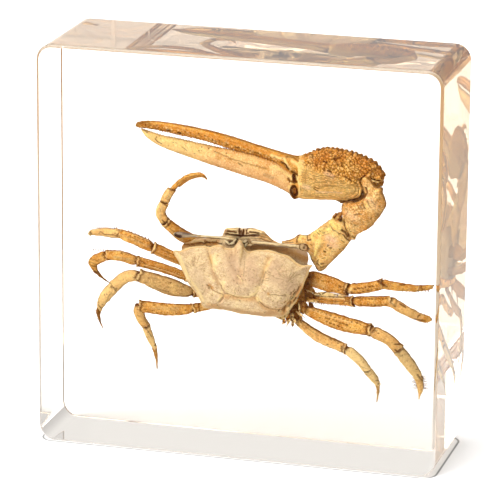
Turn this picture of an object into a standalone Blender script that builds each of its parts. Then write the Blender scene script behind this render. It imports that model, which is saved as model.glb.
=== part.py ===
"""A dried fiddler crab cast in a clear, square block of resin that stands on its edge.

X runs to the right, Y runs away from the viewer through the block, and Z is up. The origin is the middle of the
block's base. The crab faces up, with its back towards the front face. Sizes below are in millimetres.
"""

import math

import bmesh
import bpy
from mathutils import Vector

MM = 0.001

# The block
BLOCK_WIDTH = 75.0
BLOCK_HEIGHT = 75.0
BLOCK_DEPTH = 23.0
CORNER_RADIUS = 3.0
EDGE_RADIUS = 0.8
CORNER_STEPS = 4
EDGE_STEPS = 2
PARTING_DEPTH = 2.4
GAP = 0.3

# The body: the shield's outline as x and height, clockwise from its left corner
BODY_CENTRE = (0.0, 32.0)
SHIELD_OUTLINE = (
    (-13.3, 36.8), (-11.8, 37.1), (-9.5, 37.7), (-6.8, 38.1), (-4.0, 38.4), (-2.4, 38.1), (-1.2, 38.7),
    (-0.3, 40.3), (0.4, 38.4), (3.1, 38.2), (5.6, 38.0), (7.8, 37.6), (9.9, 36.8), (11.6, 36.3), (12.9, 36.4),
    (12.3, 35.2), (11.6, 33.3), (10.7, 30.4), (9.2, 28.2), (7.6, 26.4), (5.0, 26.0), (1.5, 26.0), (-3.4, 26.4),
    (-6.8, 26.6), (-7.8, 27.6), (-9.1, 30.1), (-11.2, 33.2),
)
TRUNK_OUTLINE = (
    (-12.0, 36.7), (-11.6, 38.2), (-9.0, 38.9), (-5.2, 39.6), (-4.2, 40.8), (-1.0, 41.6), (2.2, 41.2),
    (3.6, 40.9),
    (5.2, 39.8), (8.0, 39.0), (11.2, 38.5), (11.8, 36.9), (11.3, 35.0), (10.4, 32.4), (9.2, 29.0), (7.2, 26.8),
    (3.0, 26.3), (-3.0, 26.5), (-6.4, 27.0), (-8.4, 30.0), (-10.6, 33.6),
)
SHIELD_LEVELS = ((0.32, -5.95), (0.58, -5.6), (0.78, -4.95), (0.92, -4.0), (1.0, -3.0))
LIP_LEVELS = ((0.965, -2.4), (0.945, -1.2))
TRUNK_LEVELS = ((1.0, -0.8), (0.94, 0.6), (0.86, 2.2), (0.70, 4.2), (0.42, 5.4))
SHIELD_TOP = -6.1
MOUTH_BASE = 39.7
TRUNK_REACH = 9.0
GROOVE_RADIUS = 0.42
GROOVES = (
    ((-6.7, 37.6), (-6.0, 35.2), (-5.0, 32.3), (-3.9, 29.9), (-3.2, 29.1), (0.6, 28.9), (2.7, 29.5)),
    ((5.0, 36.6), (4.3, 34.9), (4.0, 33.2), (3.0, 30.3), (3.3, 28.2), (5.6, 27.3)),
)

# Eyestalks: x, depth, height, half width
EYESTALK_RIGHT = (
    (1.0, -1.85, 39.6, 0.50), (3.2, -1.85, 39.5, 0.55), (7.0, -2.2, 39.4, 0.52), (10.0, -2.3, 39.45, 0.60),
    (11.1, -2.3, 39.4, 0.82), (11.9, -2.3, 39.35, 0.55),
)
EYESTALK_LEFT = (
    (-1.6, -1.7, 39.9, 0.36), (-4.0, -1.75, 39.8, 0.36), (-9.6, -2.1, 39.9, 0.42), (-11.4, -2.1, 39.95, 0.55),
    (-12.8, -2.1, 39.95, 0.50), (-13.3, -2.1, 39.9, 0.28),
)

# Big claw: each row is an upper and a lower edge point (x, height), the depth of its middle, and half its thickness
HAND = (
    ((24.5, 52.6), (24.5, 51.4), 3.3, 0.7), ((24.1, 54.0), (24.1, 50.8), 3.3, 1.5),
    ((23.0, 55.2), (23.0, 51.2), 3.3, 2.0), ((21.9, 55.8), (21.9, 50.4), 3.3, 2.3),
    ((21.0, 56.1), (21.0, 48.8), 3.3, 2.5), ((19.4, 56.5), (19.4, 47.9), 3.3, 2.6),
    ((17.0, 57.0), (17.0, 47.8), 3.3, 2.6), ((14.6, 57.1), (14.6, 47.7), 3.3, 2.6),
    ((12.4, 56.5), (12.4, 47.6), 3.3, 2.5), ((10.4, 55.8), (10.4, 47.5), 3.3, 2.2),
    ((9.0, 55.5), (9.5, 48.2), 3.2, 1.8), ((8.3, 55.5), (8.9, 50.8), 3.1, 1.5),
    ((7.4, 55.7), (8.1, 52.9), 3.0, 1.2), ((5.4, 56.1), (5.4, 54.1), 3.0, 1.05),
    ((1.2, 57.05), (1.2, 55.1), 3.0, 1.0), ((-3.0, 58.1), (-3.0, 55.8), 3.0, 0.95),
    ((-8.0, 59.05), (-8.0, 57.0), 3.0, 0.9), ((-13.5, 59.7), (-13.5, 57.85), 3.0, 0.8),
    ((-18.0, 59.95), (-18.0, 58.45), 3.0, 0.6), ((-20.8, 59.65), (-20.8, 58.6), 3.0, 0.35),
    ((-21.5, 59.2), (-21.5, 58.85), 3.0, 0.15),
)
FINGER = (
    ((8.0, 51.6), (8.7, 47.7), 3.1, 1.2), ((6.9, 52.4), (6.6, 48.6), 3.1, 1.35),
    ((5.4, 53.7), (5.0, 49.4), 3.0, 1.3), ((3.0, 54.4), (3.0, 50.1), 3.0, 1.25),
    ((-1.0, 55.2), (-1.0, 51.0), 3.0, 1.1), ((-5.0, 55.7), (-5.0, 52.05), 3.0, 1.0),
    ((-9.0, 56.2), (-9.0, 53.0), 3.0, 0.95),
    ((-13.0, 56.8), (-13.0, 54.05), 3.0, 0.85), ((-16.5, 57.3), (-16.5, 55.15), 3.0, 0.75),
    ((-19.3, 57.95), (-19.3, 56.6), 3.0, 0.5), ((-20.5, 58.25), (-20.5, 57.95), 3.0, 0.15),
)
WRIST = (
    ((19.1, 40.7), (19.8, 40.8), 2.8, 0.4), ((18.6, 41.9), (20.5, 42.0), 2.8, 0.9),
    ((18.0, 42.6), (22.0, 42.9), 2.8, 1.5), ((17.7, 43.6), (23.2, 43.9), 2.8, 1.9),
    ((17.5, 45.0), (24.4, 45.6), 2.7, 2.2), ((17.3, 46.6), (25.4, 47.4), 2.7, 2.3),
    ((17.8, 47.5), (25.4, 48.5), 2.7, 2.2), ((19.6, 48.2), (25.2, 49.1), 2.6, 1.9),
    ((21.7, 49.6), (24.5, 50.3), 2.5, 1.4), ((21.7, 51.0), (23.6, 51.3), 2.3, 1.0),
    ((21.5, 52.0), (22.5, 52.2), 2.1, 0.5),
)
ARM = (
    ((17.0, 45.1), (18.9, 40.9), 2.6, 1.2), ((15.9, 44.5), (18.0, 38.9), 2.6, 1.8),
    ((14.4, 43.3), (16.6, 37.3), 2.6, 1.9), ((13.0, 42.3), (15.1, 35.7), 2.6, 1.9),
    ((11.9, 41.5), (13.6, 34.4), 2.6, 1.7), ((11.1, 41.0), (12.3, 35.6), 2.7, 1.5),
    ((10.5, 40.8), (11.3, 37.5), 2.7, 1.3), ((9.4, 40.8), (9.6, 38.3), 2.8, 1.1),
    ((7.9, 39.8), (8.1, 38.2), 2.8, 0.8), ((6.2, 39.3), (6.4, 38.0), 2.9, 0.7),
)

# Small claw: x, depth, height, half width, from the body to the tip of its fixed finger
SMALL_CLAW_ARM = (
    (-8.0, 2.8, 37.4, 0.9), (-10.4, 2.0, 38.2, 1.1), (-12.7, 1.0, 39.4, 1.2), (-15.4, -0.3, 41.6, 0.88),
)
SMALL_CLAW_WRIST = ((-15.4, -0.3, 41.6, 0.88), (-16.1, -0.6, 43.5, 0.93), (-15.4, -0.6, 45.4, 0.86))
SMALL_CLAW_HAND = (
    (-15.4, -0.6, 45.4, 0.86), (-14.7, -0.5, 46.8, 0.86), (-13.9, -0.5, 48.0, 0.72), (-12.3, -0.8, 49.7, 0.40),
    (-10.5, -0.9, 50.9, 0.38), (-8.9, -0.9, 51.3, 0.34), (-7.9, -0.9, 51.1, 0.22), (-7.4, -0.8, 50.6, 0.08),
)
SMALL_CLAW_FINGER = (
    (-12.8, 0.5, 48.6, 0.36), (-11.8, 0.4, 49.5, 0.36), (-10.3, 0.25, 50.4, 0.36), (-8.8, 0.25, 50.8, 0.32),
    (-7.9, 0.2, 50.6, 0.22), (-7.5, 0.1, 50.2, 0.08),
)

# Walking legs: x, depth, height, half width, from the body to the tip
LEG_PLACES = ("hip", "base", "thigh", "knee", "shin", "wrist", "foot", "ankle", "nail", "tip")
LEGS = {
    "leg_left_1": (
        (-8.6, 2.6, 32.8, 0.9), (-11.0, 1.8, 33.8, 0.98), (-14.5, 0.6, 35.2, 1.08), (-17.6, -0.4, 36.6, 1.09),
        (-20.8, -0.4, 37.8, 1.05), (-23.9, 0.2, 38.6, 0.93), (-27.4, 1.6, 38.4, 0.82), (-30.0, 3.4, 37.8, 0.55),
        (-30.8, 4.6, 37.3, 0.32), (-30.9, 6.0, 36.7, 0.1),
    ),
    "leg_left_2": (
        (-8.4, 2.6, 30.0, 0.85), (-11.5, 1.8, 31.2, 0.88), (-15.5, 1.0, 32.5, 0.89), (-20.8, 0.5, 33.6, 0.98),
        (-23.9, 0.2, 34.4, 1.0), (-26.8, 0.2, 34.3, 0.93), (-29.3, 1.2, 32.7, 0.95), (-29.3, 2.2, 30.9, 0.47),
        (-28.2, 3.3, 29.4, 0.25), (-26.8, 4.3, 28.2, 0.08),
    ),
    "leg_left_3": (
        (-7.6, 2.4, 28.3, 0.8), (-9.8, 1.5, 28.3, 0.95), (-14.5, 0.0, 29.4, 1.66), (-20.4, -0.9, 31.3, 1.18),
        (-22.8, -0.7, 30.6, 1.1), (-25.1, 0.0, 28.6, 1.12), (-27.2, 1.2, 26.0, 1.05), (-28.6, 2.6, 23.5, 0.56),
        (-28.9, 3.8, 21.5, 0.3), (-28.4, 5.0, 19.2, 0.08),
    ),
    "leg_left_4": (
        (-5.4, 3.0, 26.5, 0.7), (-8.8, 1.4, 25.6, 0.8), (-14.4, 0.0, 25.0, 1.18), (-20.4, -0.3, 25.2, 1.12),
        (-20.2, 0.2, 23.2, 0.95), (-19.2, 1.0, 21.2, 0.82), (-18.6, 2.0, 18.9, 0.72), (-18.0, 3.0, 16.9, 0.47),
        (-17.8, 4.0, 14.8, 0.31), (-17.8, 5.0, 12.4, 0.1),
    ),
    "leg_right_1": (
        (8.2, 2.6, 33.0, 1.1), (11.2, 1.6, 33.2, 1.4), (14.8, 0.5, 32.6, 1.55), (19.2, -0.3, 31.9, 1.1),
        (22.5, -0.3, 32.5, 1.0), (25.4, 0.2, 33.3, 0.95), (28.9, 1.2, 32.9, 0.78), (31.7, 2.6, 32.6, 0.6),
        (33.2, 4.2, 32.6, 0.5), (34.1, 5.3, 32.7, 0.3),
    ),
    "leg_right_2": (
        (8.0, 2.8, 29.5, 0.75), (11.2, 1.8, 29.2, 0.76), (15.7, 1.1, 29.3, 0.78), (20.1, 0.5, 29.6, 0.95),
        (23.6, 0.2, 29.9, 1.0), (26.9, 0.5, 30.2, 1.0), (29.6, 1.2, 28.6, 0.95), (32.2, 2.6, 27.2, 0.8),
        (33.2, 3.4, 26.9, 0.72), (34.0, 4.1, 26.8, 0.4),
    ),
    "leg_right_3": (
        (8.1, 2.3, 28.0, 0.75), (11.0, 1.4, 27.0, 0.95), (17.3, 0.5, 25.4, 1.5), (23.5, 0.0, 24.5, 1.15),
        (26.7, 0.4, 23.0, 1.08), (28.4, 1.3, 21.2, 1.1), (29.9, 4.3, 18.2, 1.12), (31.4, 7.0, 15.2, 0.85),
        (31.7, 8.5, 12.8, 0.6), (31.3, 9.7, 10.3, 0.1),
    ),
    "leg_right_4": (
        (6.0, 3.2, 26.6, 0.7), (9.4, 2.2, 24.6, 0.74), (13.5, 1.2, 22.2, 1.06), (18.9, 0.2, 20.5, 0.92),
        (21.2, 0.9, 18.6, 0.93), (22.6, 1.9, 16.6, 0.87), (23.6, 3.4, 14.9, 0.8), (24.3, 4.8, 13.4, 0.46),
        (24.1, 6.4, 11.5, 0.28), (23.7, 8.0, 9.4, 0.08),
    ),
}
LEG_FLATNESS = {"hip": 0.85, "base": 0.75, "thigh": 0.62, "knee": 0.74, "tip": 1.0}
LEG_FLATNESS_ELSEWHERE = 0.82
LEG_JOINTS = ("knee", "wrist", "ankle")
NECK = 0.8
STALK_FLATNESS = 1.0
SMALL_CLAW_FLATNESS = 0.85
JOINT_TRIM = 0.4
LEG_SIDES = 7
CLAW_SIDES = 12
STALK_SIDES = 8
ROOM_SIDES = 6
HAND_ROOM_SIDES = 8

DEPTH_AXIS = Vector((0, 1, 0))


def clear_scene():
    for thing in list(bpy.data.objects):
        bpy.data.objects.remove(thing, do_unlink=True)


def material(name, colour, roughness=0.45, transmission=0.0, alpha=1.0):
    """A Principled material; the colour is linear red, green and blue."""
    made = bpy.data.materials.new(name)
    made.use_nodes = True
    shader = made.node_tree.nodes["Principled BSDF"]
    shader.inputs["Base Color"].default_value = (*colour, 1.0)
    shader.inputs["Roughness"].default_value = roughness
    shader.inputs["Metallic"].default_value = 0.0
    shader.inputs["Transmission Weight"].default_value = transmission
    shader.inputs["Alpha"].default_value = alpha
    made.diffuse_color = (*colour, alpha)
    return made


def skin(name, rings, finish, smooth_angle=50.0):
    """A closed mesh over rings that all have the same number of points, given in millimetres."""
    mesh = bpy.data.meshes.new(name)
    shape = bmesh.new()
    loops = [[shape.verts.new(point * MM) for point in ring] for ring in rings]
    count = len(rings[0])
    for ring, following in zip(loops, loops[1:]):
        for i in range(count):
            j = (i + 1) % count
            shape.faces.new((ring[i], ring[j], following[j], following[i]))
    shape.faces.new(loops[0][::-1])
    shape.faces.new(loops[-1])
    bmesh.ops.recalc_face_normals(shape, faces=shape.faces)
    shape.to_mesh(mesh)
    shape.free()
    mesh.shade_smooth()
    mesh.set_sharp_from_angle(angle=math.radians(smooth_angle))
    mesh.materials.append(finish)
    made = bpy.data.objects.new(name, mesh)
    bpy.context.scene.collection.objects.link(made)
    return made


def oval(middle, across, front, half_width, half_thickness, sides, grow=0.0):
    """A ring of points on an oval; a grown one has its flat sides, and not its corners, clear by that much."""
    if grow:
        half_width = (half_width + grow) / math.cos(math.pi / sides)
        half_thickness = (half_thickness + grow) / math.cos(math.pi / sides)
    turns = (2 * math.pi * i / sides for i in range(sides))
    return [middle + across * half_width * math.cos(t) + front * half_thickness * math.sin(t) for t in turns]


def limb_rings(stations, sides, grow=0.0, trims=(0.0, 0.0)):
    """Oval rings across a bent limb; a station is (point, half width, half thickness).

    The trims shorten it at either end, to leave a joint open.
    """
    points = [station[0] for station in stations]
    rings = []
    last = len(points) - 1
    for i, (point, half_width, half_thickness) in enumerate(stations):
        before = (point - points[i - 1]).normalized() if i else (points[1] - point).normalized()
        after = (points[i + 1] - point).normalized() if i < last else before
        along = (before + after).normalized()
        across = along.cross(DEPTH_AXIS).normalized()
        front = across.cross(along)
        mitre = 1 / max(along.dot(before), 0.6)
        middle = point
        if i == 0:
            middle = point + along * (trims[0] - grow)
        if i == last:
            middle = point - along * (trims[1] - grow)
        rings.append(oval(middle, across, front, half_width * mitre, half_thickness, sides, grow))
    return rings


def plain_stations(rows, flatness):
    return [(Vector(row[:3]), row[3], row[3] * flatness) for row in rows]


def leg_room_stations(rows):
    """The room for a leg follows its named places only."""
    flatness = [LEG_FLATNESS.get(place, LEG_FLATNESS_ELSEWHERE) for place in LEG_PLACES]
    return [(Vector(row[:3]), row[3], row[3] * share) for row, share in zip(rows, flatness)]


def leg_stations(rows):
    """A leg's rings: one at each named place, and at a joint a narrow neck between two flared ends."""
    stations = []
    for i, (place, row) in enumerate(zip(LEG_PLACES, rows)):
        point = Vector(row[:3])
        flatness = LEG_FLATNESS.get(place, LEG_FLATNESS_ELSEWHERE)
        if place not in LEG_JOINTS:
            stations.append((point, row[3], row[3] * flatness))
            continue
        back = Vector(rows[i - 1][:3]) - point
        ahead = Vector(rows[i + 1][:3]) - point
        reach = min(1.1 * row[3], 0.45 * back.length, 0.45 * ahead.length)
        behind = (rows[i - 1][3] + row[3]) / 2 if place == "ankle" else row[3]
        beyond = row[3] * 0.9 if place == "ankle" else row[3]
        stations.append((point + back.normalized() * reach, behind, behind * flatness))
        stations.append((point, row[3] * NECK, row[3] * NECK * flatness))
        stations.append((point + ahead.normalized() * reach, beyond, beyond * flatness))
    return stations


def edge_rings(rows, sides, grow=0.0):
    """Oval rings between the two edges that each row names."""
    rings = []
    middles = [Vector(((a[0] + b[0]) / 2, depth, (a[1] + b[1]) / 2)) for a, b, depth, _ in rows]
    last = len(rows) - 1
    for i, ((a, b, _, half_thickness), middle) in enumerate(zip(rows, middles)):
        span = Vector((a[0] - b[0], 0, a[1] - b[1]))
        across = span.normalized()
        if i in (0, last):
            outward = middle - middles[1 if i == 0 else last - 1]
            outward -= across * outward.dot(across)
            middle = middle + outward.normalized() * grow
        rings.append(oval(middle, across, DEPTH_AXIS, span.length / 2, half_thickness, sides, grow))
    return rings


def reach(outline, angle):
    """How far an outline lies from the body's centre in one direction."""
    ux, uz = math.cos(angle), math.sin(angle)
    cx, cz = BODY_CENTRE
    for (ax, az), (bx, bz) in zip(outline, outline[1:] + outline[:1]):
        ex, ez = bx - ax, bz - az
        turn = ux * ez - uz * ex
        if abs(turn) < 1e-9:
            continue
        distance = ((ax - cx) * ez - (az - cz) * ex) / turn
        share = ((ax - cx) * uz - (az - cz) * ux) / turn
        if distance > 0 and -1e-9 <= share <= 1 + 1e-9:
            return distance
    raise ValueError("the outline doesn't go round the body's centre")


def body_angles():
    """The directions from the body's centre in which its outlines have their corners."""
    cx, cz = BODY_CENTRE
    mouth_corners = [point for point in TRUNK_OUTLINE if point[1] > MOUTH_BASE]
    return sorted({round(math.atan2(z - cz, x - cx), 4) for x, z in list(SHIELD_OUTLINE) + mouth_corners})


def polar_ring(radii, depth):
    cx, cz = BODY_CENTRE
    return [Vector((cx + r * math.cos(a), depth, cz + r * math.sin(a))) for r, a in zip(radii, body_angles())]


def body_rings():
    """Rings from the top of the shield, over its rim and the lip under it, to the underside of the trunk."""
    shield = [reach(SHIELD_OUTLINE, angle) for angle in body_angles()]
    trunk = [reach(TRUNK_OUTLINE, angle) for angle in body_angles()]
    rings = [polar_ring([r * share for r in shield], depth) for share, depth in SHIELD_LEVELS + LIP_LEVELS]
    return rings + [polar_ring([r * share for r in trunk], depth) for share, depth in TRUNK_LEVELS]


def body_room_rings():
    """The same shape, larger by the gap, with the recess under the shield's rim filled in."""
    shield = []
    both = []
    trunk = []
    for angle in body_angles():
        sides = (angle, angle - GAP / TRUNK_REACH, angle + GAP / TRUNK_REACH)
        wide_shield = max(reach(SHIELD_OUTLINE, side) for side in sides)
        wide_trunk = max(reach(TRUNK_OUTLINE, side) for side in sides)
        shield.append(wide_shield + GAP)
        trunk.append(wide_trunk + GAP)
        both.append(max(wide_shield, wide_trunk) + GAP)
    rings = [polar_ring([r * share for r in shield], depth - GAP) for share, depth in SHIELD_LEVELS]
    rings += [polar_ring(both, SHIELD_LEVELS[-1][1] + GAP), polar_ring(both, TRUNK_LEVELS[0][1])]
    return rings + [polar_ring([r * share for r in trunk], depth + GAP) for share, depth in TRUNK_LEVELS[1:]]


def shield_depth(x, z):
    """The depth of the shield's surface, read between its levels."""
    cx, cz = BODY_CENTRE
    share = math.hypot(x - cx, z - cz) / reach(SHIELD_OUTLINE, math.atan2(z - cz, x - cx))
    levels = ((0.0, SHIELD_TOP),) + SHIELD_LEVELS
    for (a, low), (b, high) in zip(levels, levels[1:]):
        if share <= b:
            return low + (high - low) * (share - a) / (b - a)
    return levels[-1][1]


def as_cutter(made):
    made.hide_render = True
    made.display_type = "WIRE"
    return made


def cut(target, *cutters):
    for cutter in cutters:
        change = target.modifiers.new("clear_of_" + cutter.name, "BOOLEAN")
        change.operation = "DIFFERENCE"
        change.solver = "EXACT"
        change.object = cutter


def block_rings(front, back):
    """The block's rings between two depths, rounded at its front or back face where they reach it."""
    half = BLOCK_DEPTH / 2
    depths = []
    for i in range(EDGE_STEPS + 1):
        turn = math.pi / 2 * i / EDGE_STEPS
        depths.append((half - EDGE_RADIUS * (1 - math.sin(turn)), EDGE_RADIUS * (1 - math.cos(turn))))
    rounded_front = [(-depth, inset) for depth, inset in reversed(depths)]
    levels = rounded_front if front <= -half else [(front, 0.0)]
    levels = levels + (depths if back >= half else [(back, 0.0)])
    rings = []
    for depth, inset in levels:
        ring = []
        radius = CORNER_RADIUS - inset
        for corner in range(4):
            side_x = 1 if corner in (0, 3) else -1
            side_z = 1 if corner in (0, 1) else -1
            middle_x = side_x * (BLOCK_WIDTH / 2 - CORNER_RADIUS)
            middle_z = BLOCK_HEIGHT / 2 + side_z * (BLOCK_HEIGHT / 2 - CORNER_RADIUS)
            for step in range(CORNER_STEPS + 1):
                turn = math.pi / 2 * (corner + step / CORNER_STEPS)
                outward = Vector((math.cos(turn), 0, math.sin(turn)))
                ring.append(Vector((middle_x, depth, middle_z)) + outward * radius)
        rings.append(ring)
    return rings


clear_scene()
shield_straw = material("shield_straw", (0.64, 0.47, 0.28))
shell_amber = material("shell_amber", (0.62, 0.30, 0.09), 0.35)
finger_straw = material("finger_straw", (0.72, 0.46, 0.19), 0.4)
leg_amber = material("leg_amber", (0.58, 0.31, 0.11), 0.4)
eye_brown = material("eye_brown", (0.20, 0.10, 0.05), 0.3)
resin_clear = material("resin_clear", (0.97, 0.95, 0.92), 0.02, transmission=1.0, alpha=0.35)

pocket = bpy.data.collections.new("pocket")
bpy.context.scene.collection.children.link(pocket)
clearance = {}


def piece(name, rings, room_rings, finish):
    """One piece of the crab, and a shape larger all round by the gap: the room it needs in its neighbours."""
    made = skin(name, rings, finish)
    room = as_cutter(skin("room_for_" + name, room_rings, finish))
    bpy.context.scene.collection.objects.unlink(room)
    pocket.objects.link(room)
    clearance[name] = room
    return made


body = piece("body", body_rings(), body_room_rings(), shield_straw)
for number, groove in enumerate(GROOVES):
    bed = [(Vector((x, shield_depth(x, z) - 0.12, z)), GROOVE_RADIUS, GROOVE_RADIUS) for x, z in groove]
    cut(body, as_cutter(skin("groove_%d" % number, limb_rings(bed, 6), shield_straw)))

for name, rows in (("eyestalk_right", EYESTALK_RIGHT), ("eyestalk_left", EYESTALK_LEFT)):
    stations = plain_stations(rows, STALK_FLATNESS)
    piece(name, limb_rings(stations, STALK_SIDES), limb_rings(stations, ROOM_SIDES, GAP), eye_brown)

claw_wrist = piece("claw_wrist", edge_rings(WRIST, CLAW_SIDES), edge_rings(WRIST, CLAW_SIDES, GAP), shell_amber)
hand_room = edge_rings(HAND, HAND_ROOM_SIDES, GAP)
claw_hand = piece("claw_hand", edge_rings(HAND, CLAW_SIDES), hand_room, shell_amber)
claw_arm = piece("claw_arm", edge_rings(ARM, CLAW_SIDES), edge_rings(ARM, ROOM_SIDES, GAP), shell_amber)
piece("claw_finger", edge_rings(FINGER, CLAW_SIDES), edge_rings(FINGER, ROOM_SIDES, GAP), finger_straw)
cut(claw_hand, clearance["claw_wrist"])
cut(claw_arm, clearance["claw_wrist"], clearance["body"])

for name, rows, trims in (
    ("small_claw_arm", SMALL_CLAW_ARM, (0.0, JOINT_TRIM)),
    ("small_claw_wrist", SMALL_CLAW_WRIST, (JOINT_TRIM, JOINT_TRIM)),
    ("small_claw_hand", SMALL_CLAW_HAND, (JOINT_TRIM, 0.0)),
    ("small_claw_finger", SMALL_CLAW_FINGER, (0.0, 0.0)),
):
    stations = plain_stations(rows, SMALL_CLAW_FLATNESS)
    made = piece(
        name,
        limb_rings(stations, LEG_SIDES, 0.0, trims),
        limb_rings(stations, ROOM_SIDES, GAP),
        leg_amber,
    )
    if name == "small_claw_arm":
        cut(made, clearance["body"])

for name, rows in LEGS.items():
    room = limb_rings(leg_room_stations(rows), ROOM_SIDES, GAP)
    leg = piece(name, limb_rings(leg_stations(rows), LEG_SIDES), room, leg_amber)
    cut(leg, clearance["body"])

half_depth = BLOCK_DEPTH / 2
for name, front, back in (
    ("resin_front", -half_depth, PARTING_DEPTH - GAP / 2),
    ("resin_back", PARTING_DEPTH + GAP / 2, half_depth),
):
    half = skin(name, block_rings(front, back), resin_clear, 35.0)
    change = half.modifiers.new("crab_pocket", "BOOLEAN")
    change.operation = "DIFFERENCE"
    change.solver = "EXACT"
    change.operand_type = "COLLECTION"
    change.collection = pocket
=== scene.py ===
"""A dried fiddler crab in a clear cast resin block, standing on a white table."""

import math
import random

import bmesh
import bpy
import numpy as np
from mathutils import Matrix, Vector, noise


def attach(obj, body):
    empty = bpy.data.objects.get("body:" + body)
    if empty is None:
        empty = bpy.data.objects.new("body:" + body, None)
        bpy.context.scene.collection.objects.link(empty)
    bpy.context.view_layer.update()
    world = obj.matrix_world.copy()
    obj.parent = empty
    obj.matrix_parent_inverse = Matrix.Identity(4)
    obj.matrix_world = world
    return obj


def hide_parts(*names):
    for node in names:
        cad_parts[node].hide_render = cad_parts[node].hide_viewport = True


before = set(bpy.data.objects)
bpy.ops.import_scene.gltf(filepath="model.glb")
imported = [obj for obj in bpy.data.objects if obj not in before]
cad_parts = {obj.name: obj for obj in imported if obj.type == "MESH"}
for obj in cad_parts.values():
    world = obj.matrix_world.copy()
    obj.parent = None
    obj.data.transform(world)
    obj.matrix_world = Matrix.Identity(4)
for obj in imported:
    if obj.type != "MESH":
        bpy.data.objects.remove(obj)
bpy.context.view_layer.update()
MM = 0.001
collection = bpy.context.scene.collection

# The table: a sheet of opal acrylic with a lamp below it, under the block. A tent of white cloth stands
# round it and lights the block from all sides, brightest overhead and above the front at the left.


def to_linear(code):
    """An sRGB hex colour as the linear colour that a shader takes."""
    parts = [int(code[i:i + 2], 16) / 255 for i in (1, 3, 5)]
    linear = [part / 12.92 if part <= 0.04045 else ((part + 0.055) / 1.055) ** 2.4 for part in parts]
    return (*linear, 1.0)


def add(tree, kind, settings=None, **links):
    """Add a node: settings are its properties or its sockets' values, and links feed its sockets."""
    node = tree.nodes.new(kind)
    for key, value in (settings or {}).items():
        if isinstance(key, str) and hasattr(node, key):
            setattr(node, key, value)
        else:
            node.inputs[key].default_value = value
    for key, source in links.items():
        socket = int(key[1:]) if key[0] == "i" and key[1:].isdigit() else key
        tree.links.new(source, node.inputs[socket])
    return node


def fade_along(tree, place, direction, start, end, low=0.0, high=1.0):
    """A value that goes softly from low to high as a place moves along one direction from start to end."""
    along = add(tree, "ShaderNodeVectorMath", {"operation": "DOT_PRODUCT", 1: direction}, i0=place)
    soft = {"interpolation_type": "SMOOTHSTEP", 1: start, 2: end, 3: low, 4: high}
    return add(tree, "ShaderNodeMapRange", soft, i0=along.outputs["Value"]).outputs["Result"]


def new_material(name):
    """A material with its node tree and its Principled shader."""
    made = bpy.data.materials.new(name)
    made.use_nodes = True
    return made, made.node_tree, made.node_tree.nodes["Principled BSDF"]


# one part of the tent in each row: the way to it, where its glow starts and ends as the cosine of the angle
# to that way, and how strong the glow is at the start and at the end
BACK_WALL = ((0.0, 1.0, 0.0), -0.3, 0.3, 0.50, 0.86)
RIGHT_WALL = ((1.0, 0.0, 0.0), 0.0, 0.8, 0.0, -0.40)
ROOF = ((0.0, 0.0, 1.0), 0.75, 0.95, 0.0, 3.0)
FRONT_LEFT_LAMP = ((-0.50, -0.65, 0.55), 0.70, 0.95, 0.0, 7.3)
tent = bpy.data.worlds.new("white_cloth_tent")
bpy.context.scene.world = tent
tent.use_nodes = True
cloth = tent.node_tree
ahead = add(cloth, "ShaderNodeTexCoord").outputs["Generated"]
glow = fade_along(cloth, ahead, *BACK_WALL)
for wall in (RIGHT_WALL, ROOF, FRONT_LEFT_LAMP):
    more = fade_along(cloth, ahead, *wall)
    glow = add(cloth, "ShaderNodeMath", {"operation": "ADD"}, i0=glow, i1=more).outputs["Value"]
cloth.links.new(glow, cloth.nodes["Background"].inputs["Strength"])
cloth.nodes["Background"].inputs["Color"].default_value = to_linear("#FFFFFF")

TABLE_SIZE = 4000.0
TABLE_DROP = 0.03
half, drop = TABLE_SIZE / 2 * MM, -TABLE_DROP * MM
corners = [(-half, -half, drop), (half, -half, drop), (half, half, drop), (-half, half, drop)]
table_mesh = bpy.data.meshes.new("table_top")
table_mesh.from_pydata(corners, [], [(0, 1, 2, 3)])
table = bpy.data.objects.new("table_top", table_mesh)
collection.objects.link(table)
# where the lamp below ends, how far its glow takes to fade, and how much slower it fades towards the front
LAMP_REACH = (35.0 * MM, 9.0 * MM, 0.0)
LAMP_FADE = 2.5 * MM
LAMP_STRETCH = (1.0, 0.85, 1.0)
# the painted contact shadow's distance from the lamp's end, its half width, and the greys of the painted
# shadow and of the sheet
CONTACT_SHADOW_DISTANCE = 2.35 * MM
CONTACT_SHADOW_CORE = 0.05 * MM
CONTACT_SHADOW_EDGE = 0.3 * MM
CONTACT_SHADOW_GREY = 0.14
SHEET_GREY = 0.66
# painted warm shade in the sheet's own colour lies far out to the right, past an edge that runs off to
# the front
WARM_SHADE = "#DCCBB8"
SHADE_WAY = (0.964, 0.267, 0.0)
SHADE_START = 50.0 * MM
SHADE_END = 105.0 * MM
EDGE_WAY = (0.964, -0.267, 0.0)
EDGE_FADE = 15.0 * MM
# matt white plastic: no gloss of its own, a soft glow under the block, one thin grey line of painted contact
# shadow round its foot, and painted warm shade far out to the right
acrylic, tree, shader = new_material("opal_acrylic_lit_from_below")
shader.inputs["Roughness"].default_value = 0.9
shader.inputs["Specular IOR Level"].default_value = 0.0
shader.inputs["Emission Color"].default_value = to_linear("#FFFFFF")
place = add(tree, "ShaderNodeTexCoord").outputs["Object"]
beyond = place
for step in (
    {"operation": "ABSOLUTE"},
    {"operation": "SUBTRACT", 1: LAMP_REACH},
    {"operation": "MAXIMUM", 1: (0.0, 0.0, 0.0)},
    {"operation": "MULTIPLY", 1: LAMP_STRETCH},
):
    beyond = add(tree, "ShaderNodeVectorMath", step, i0=beyond).outputs["Vector"]
gap = add(tree, "ShaderNodeVectorMath", {"operation": "LENGTH"}, i0=beyond).outputs["Value"]
lamp = add(tree, "ShaderNodeMapRange", {1: 0.0, 2: LAMP_FADE, 3: 0.50, 4: 0.05}, i0=gap)
tree.links.new(lamp.outputs["Result"], shader.inputs["Emission Strength"])
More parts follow.
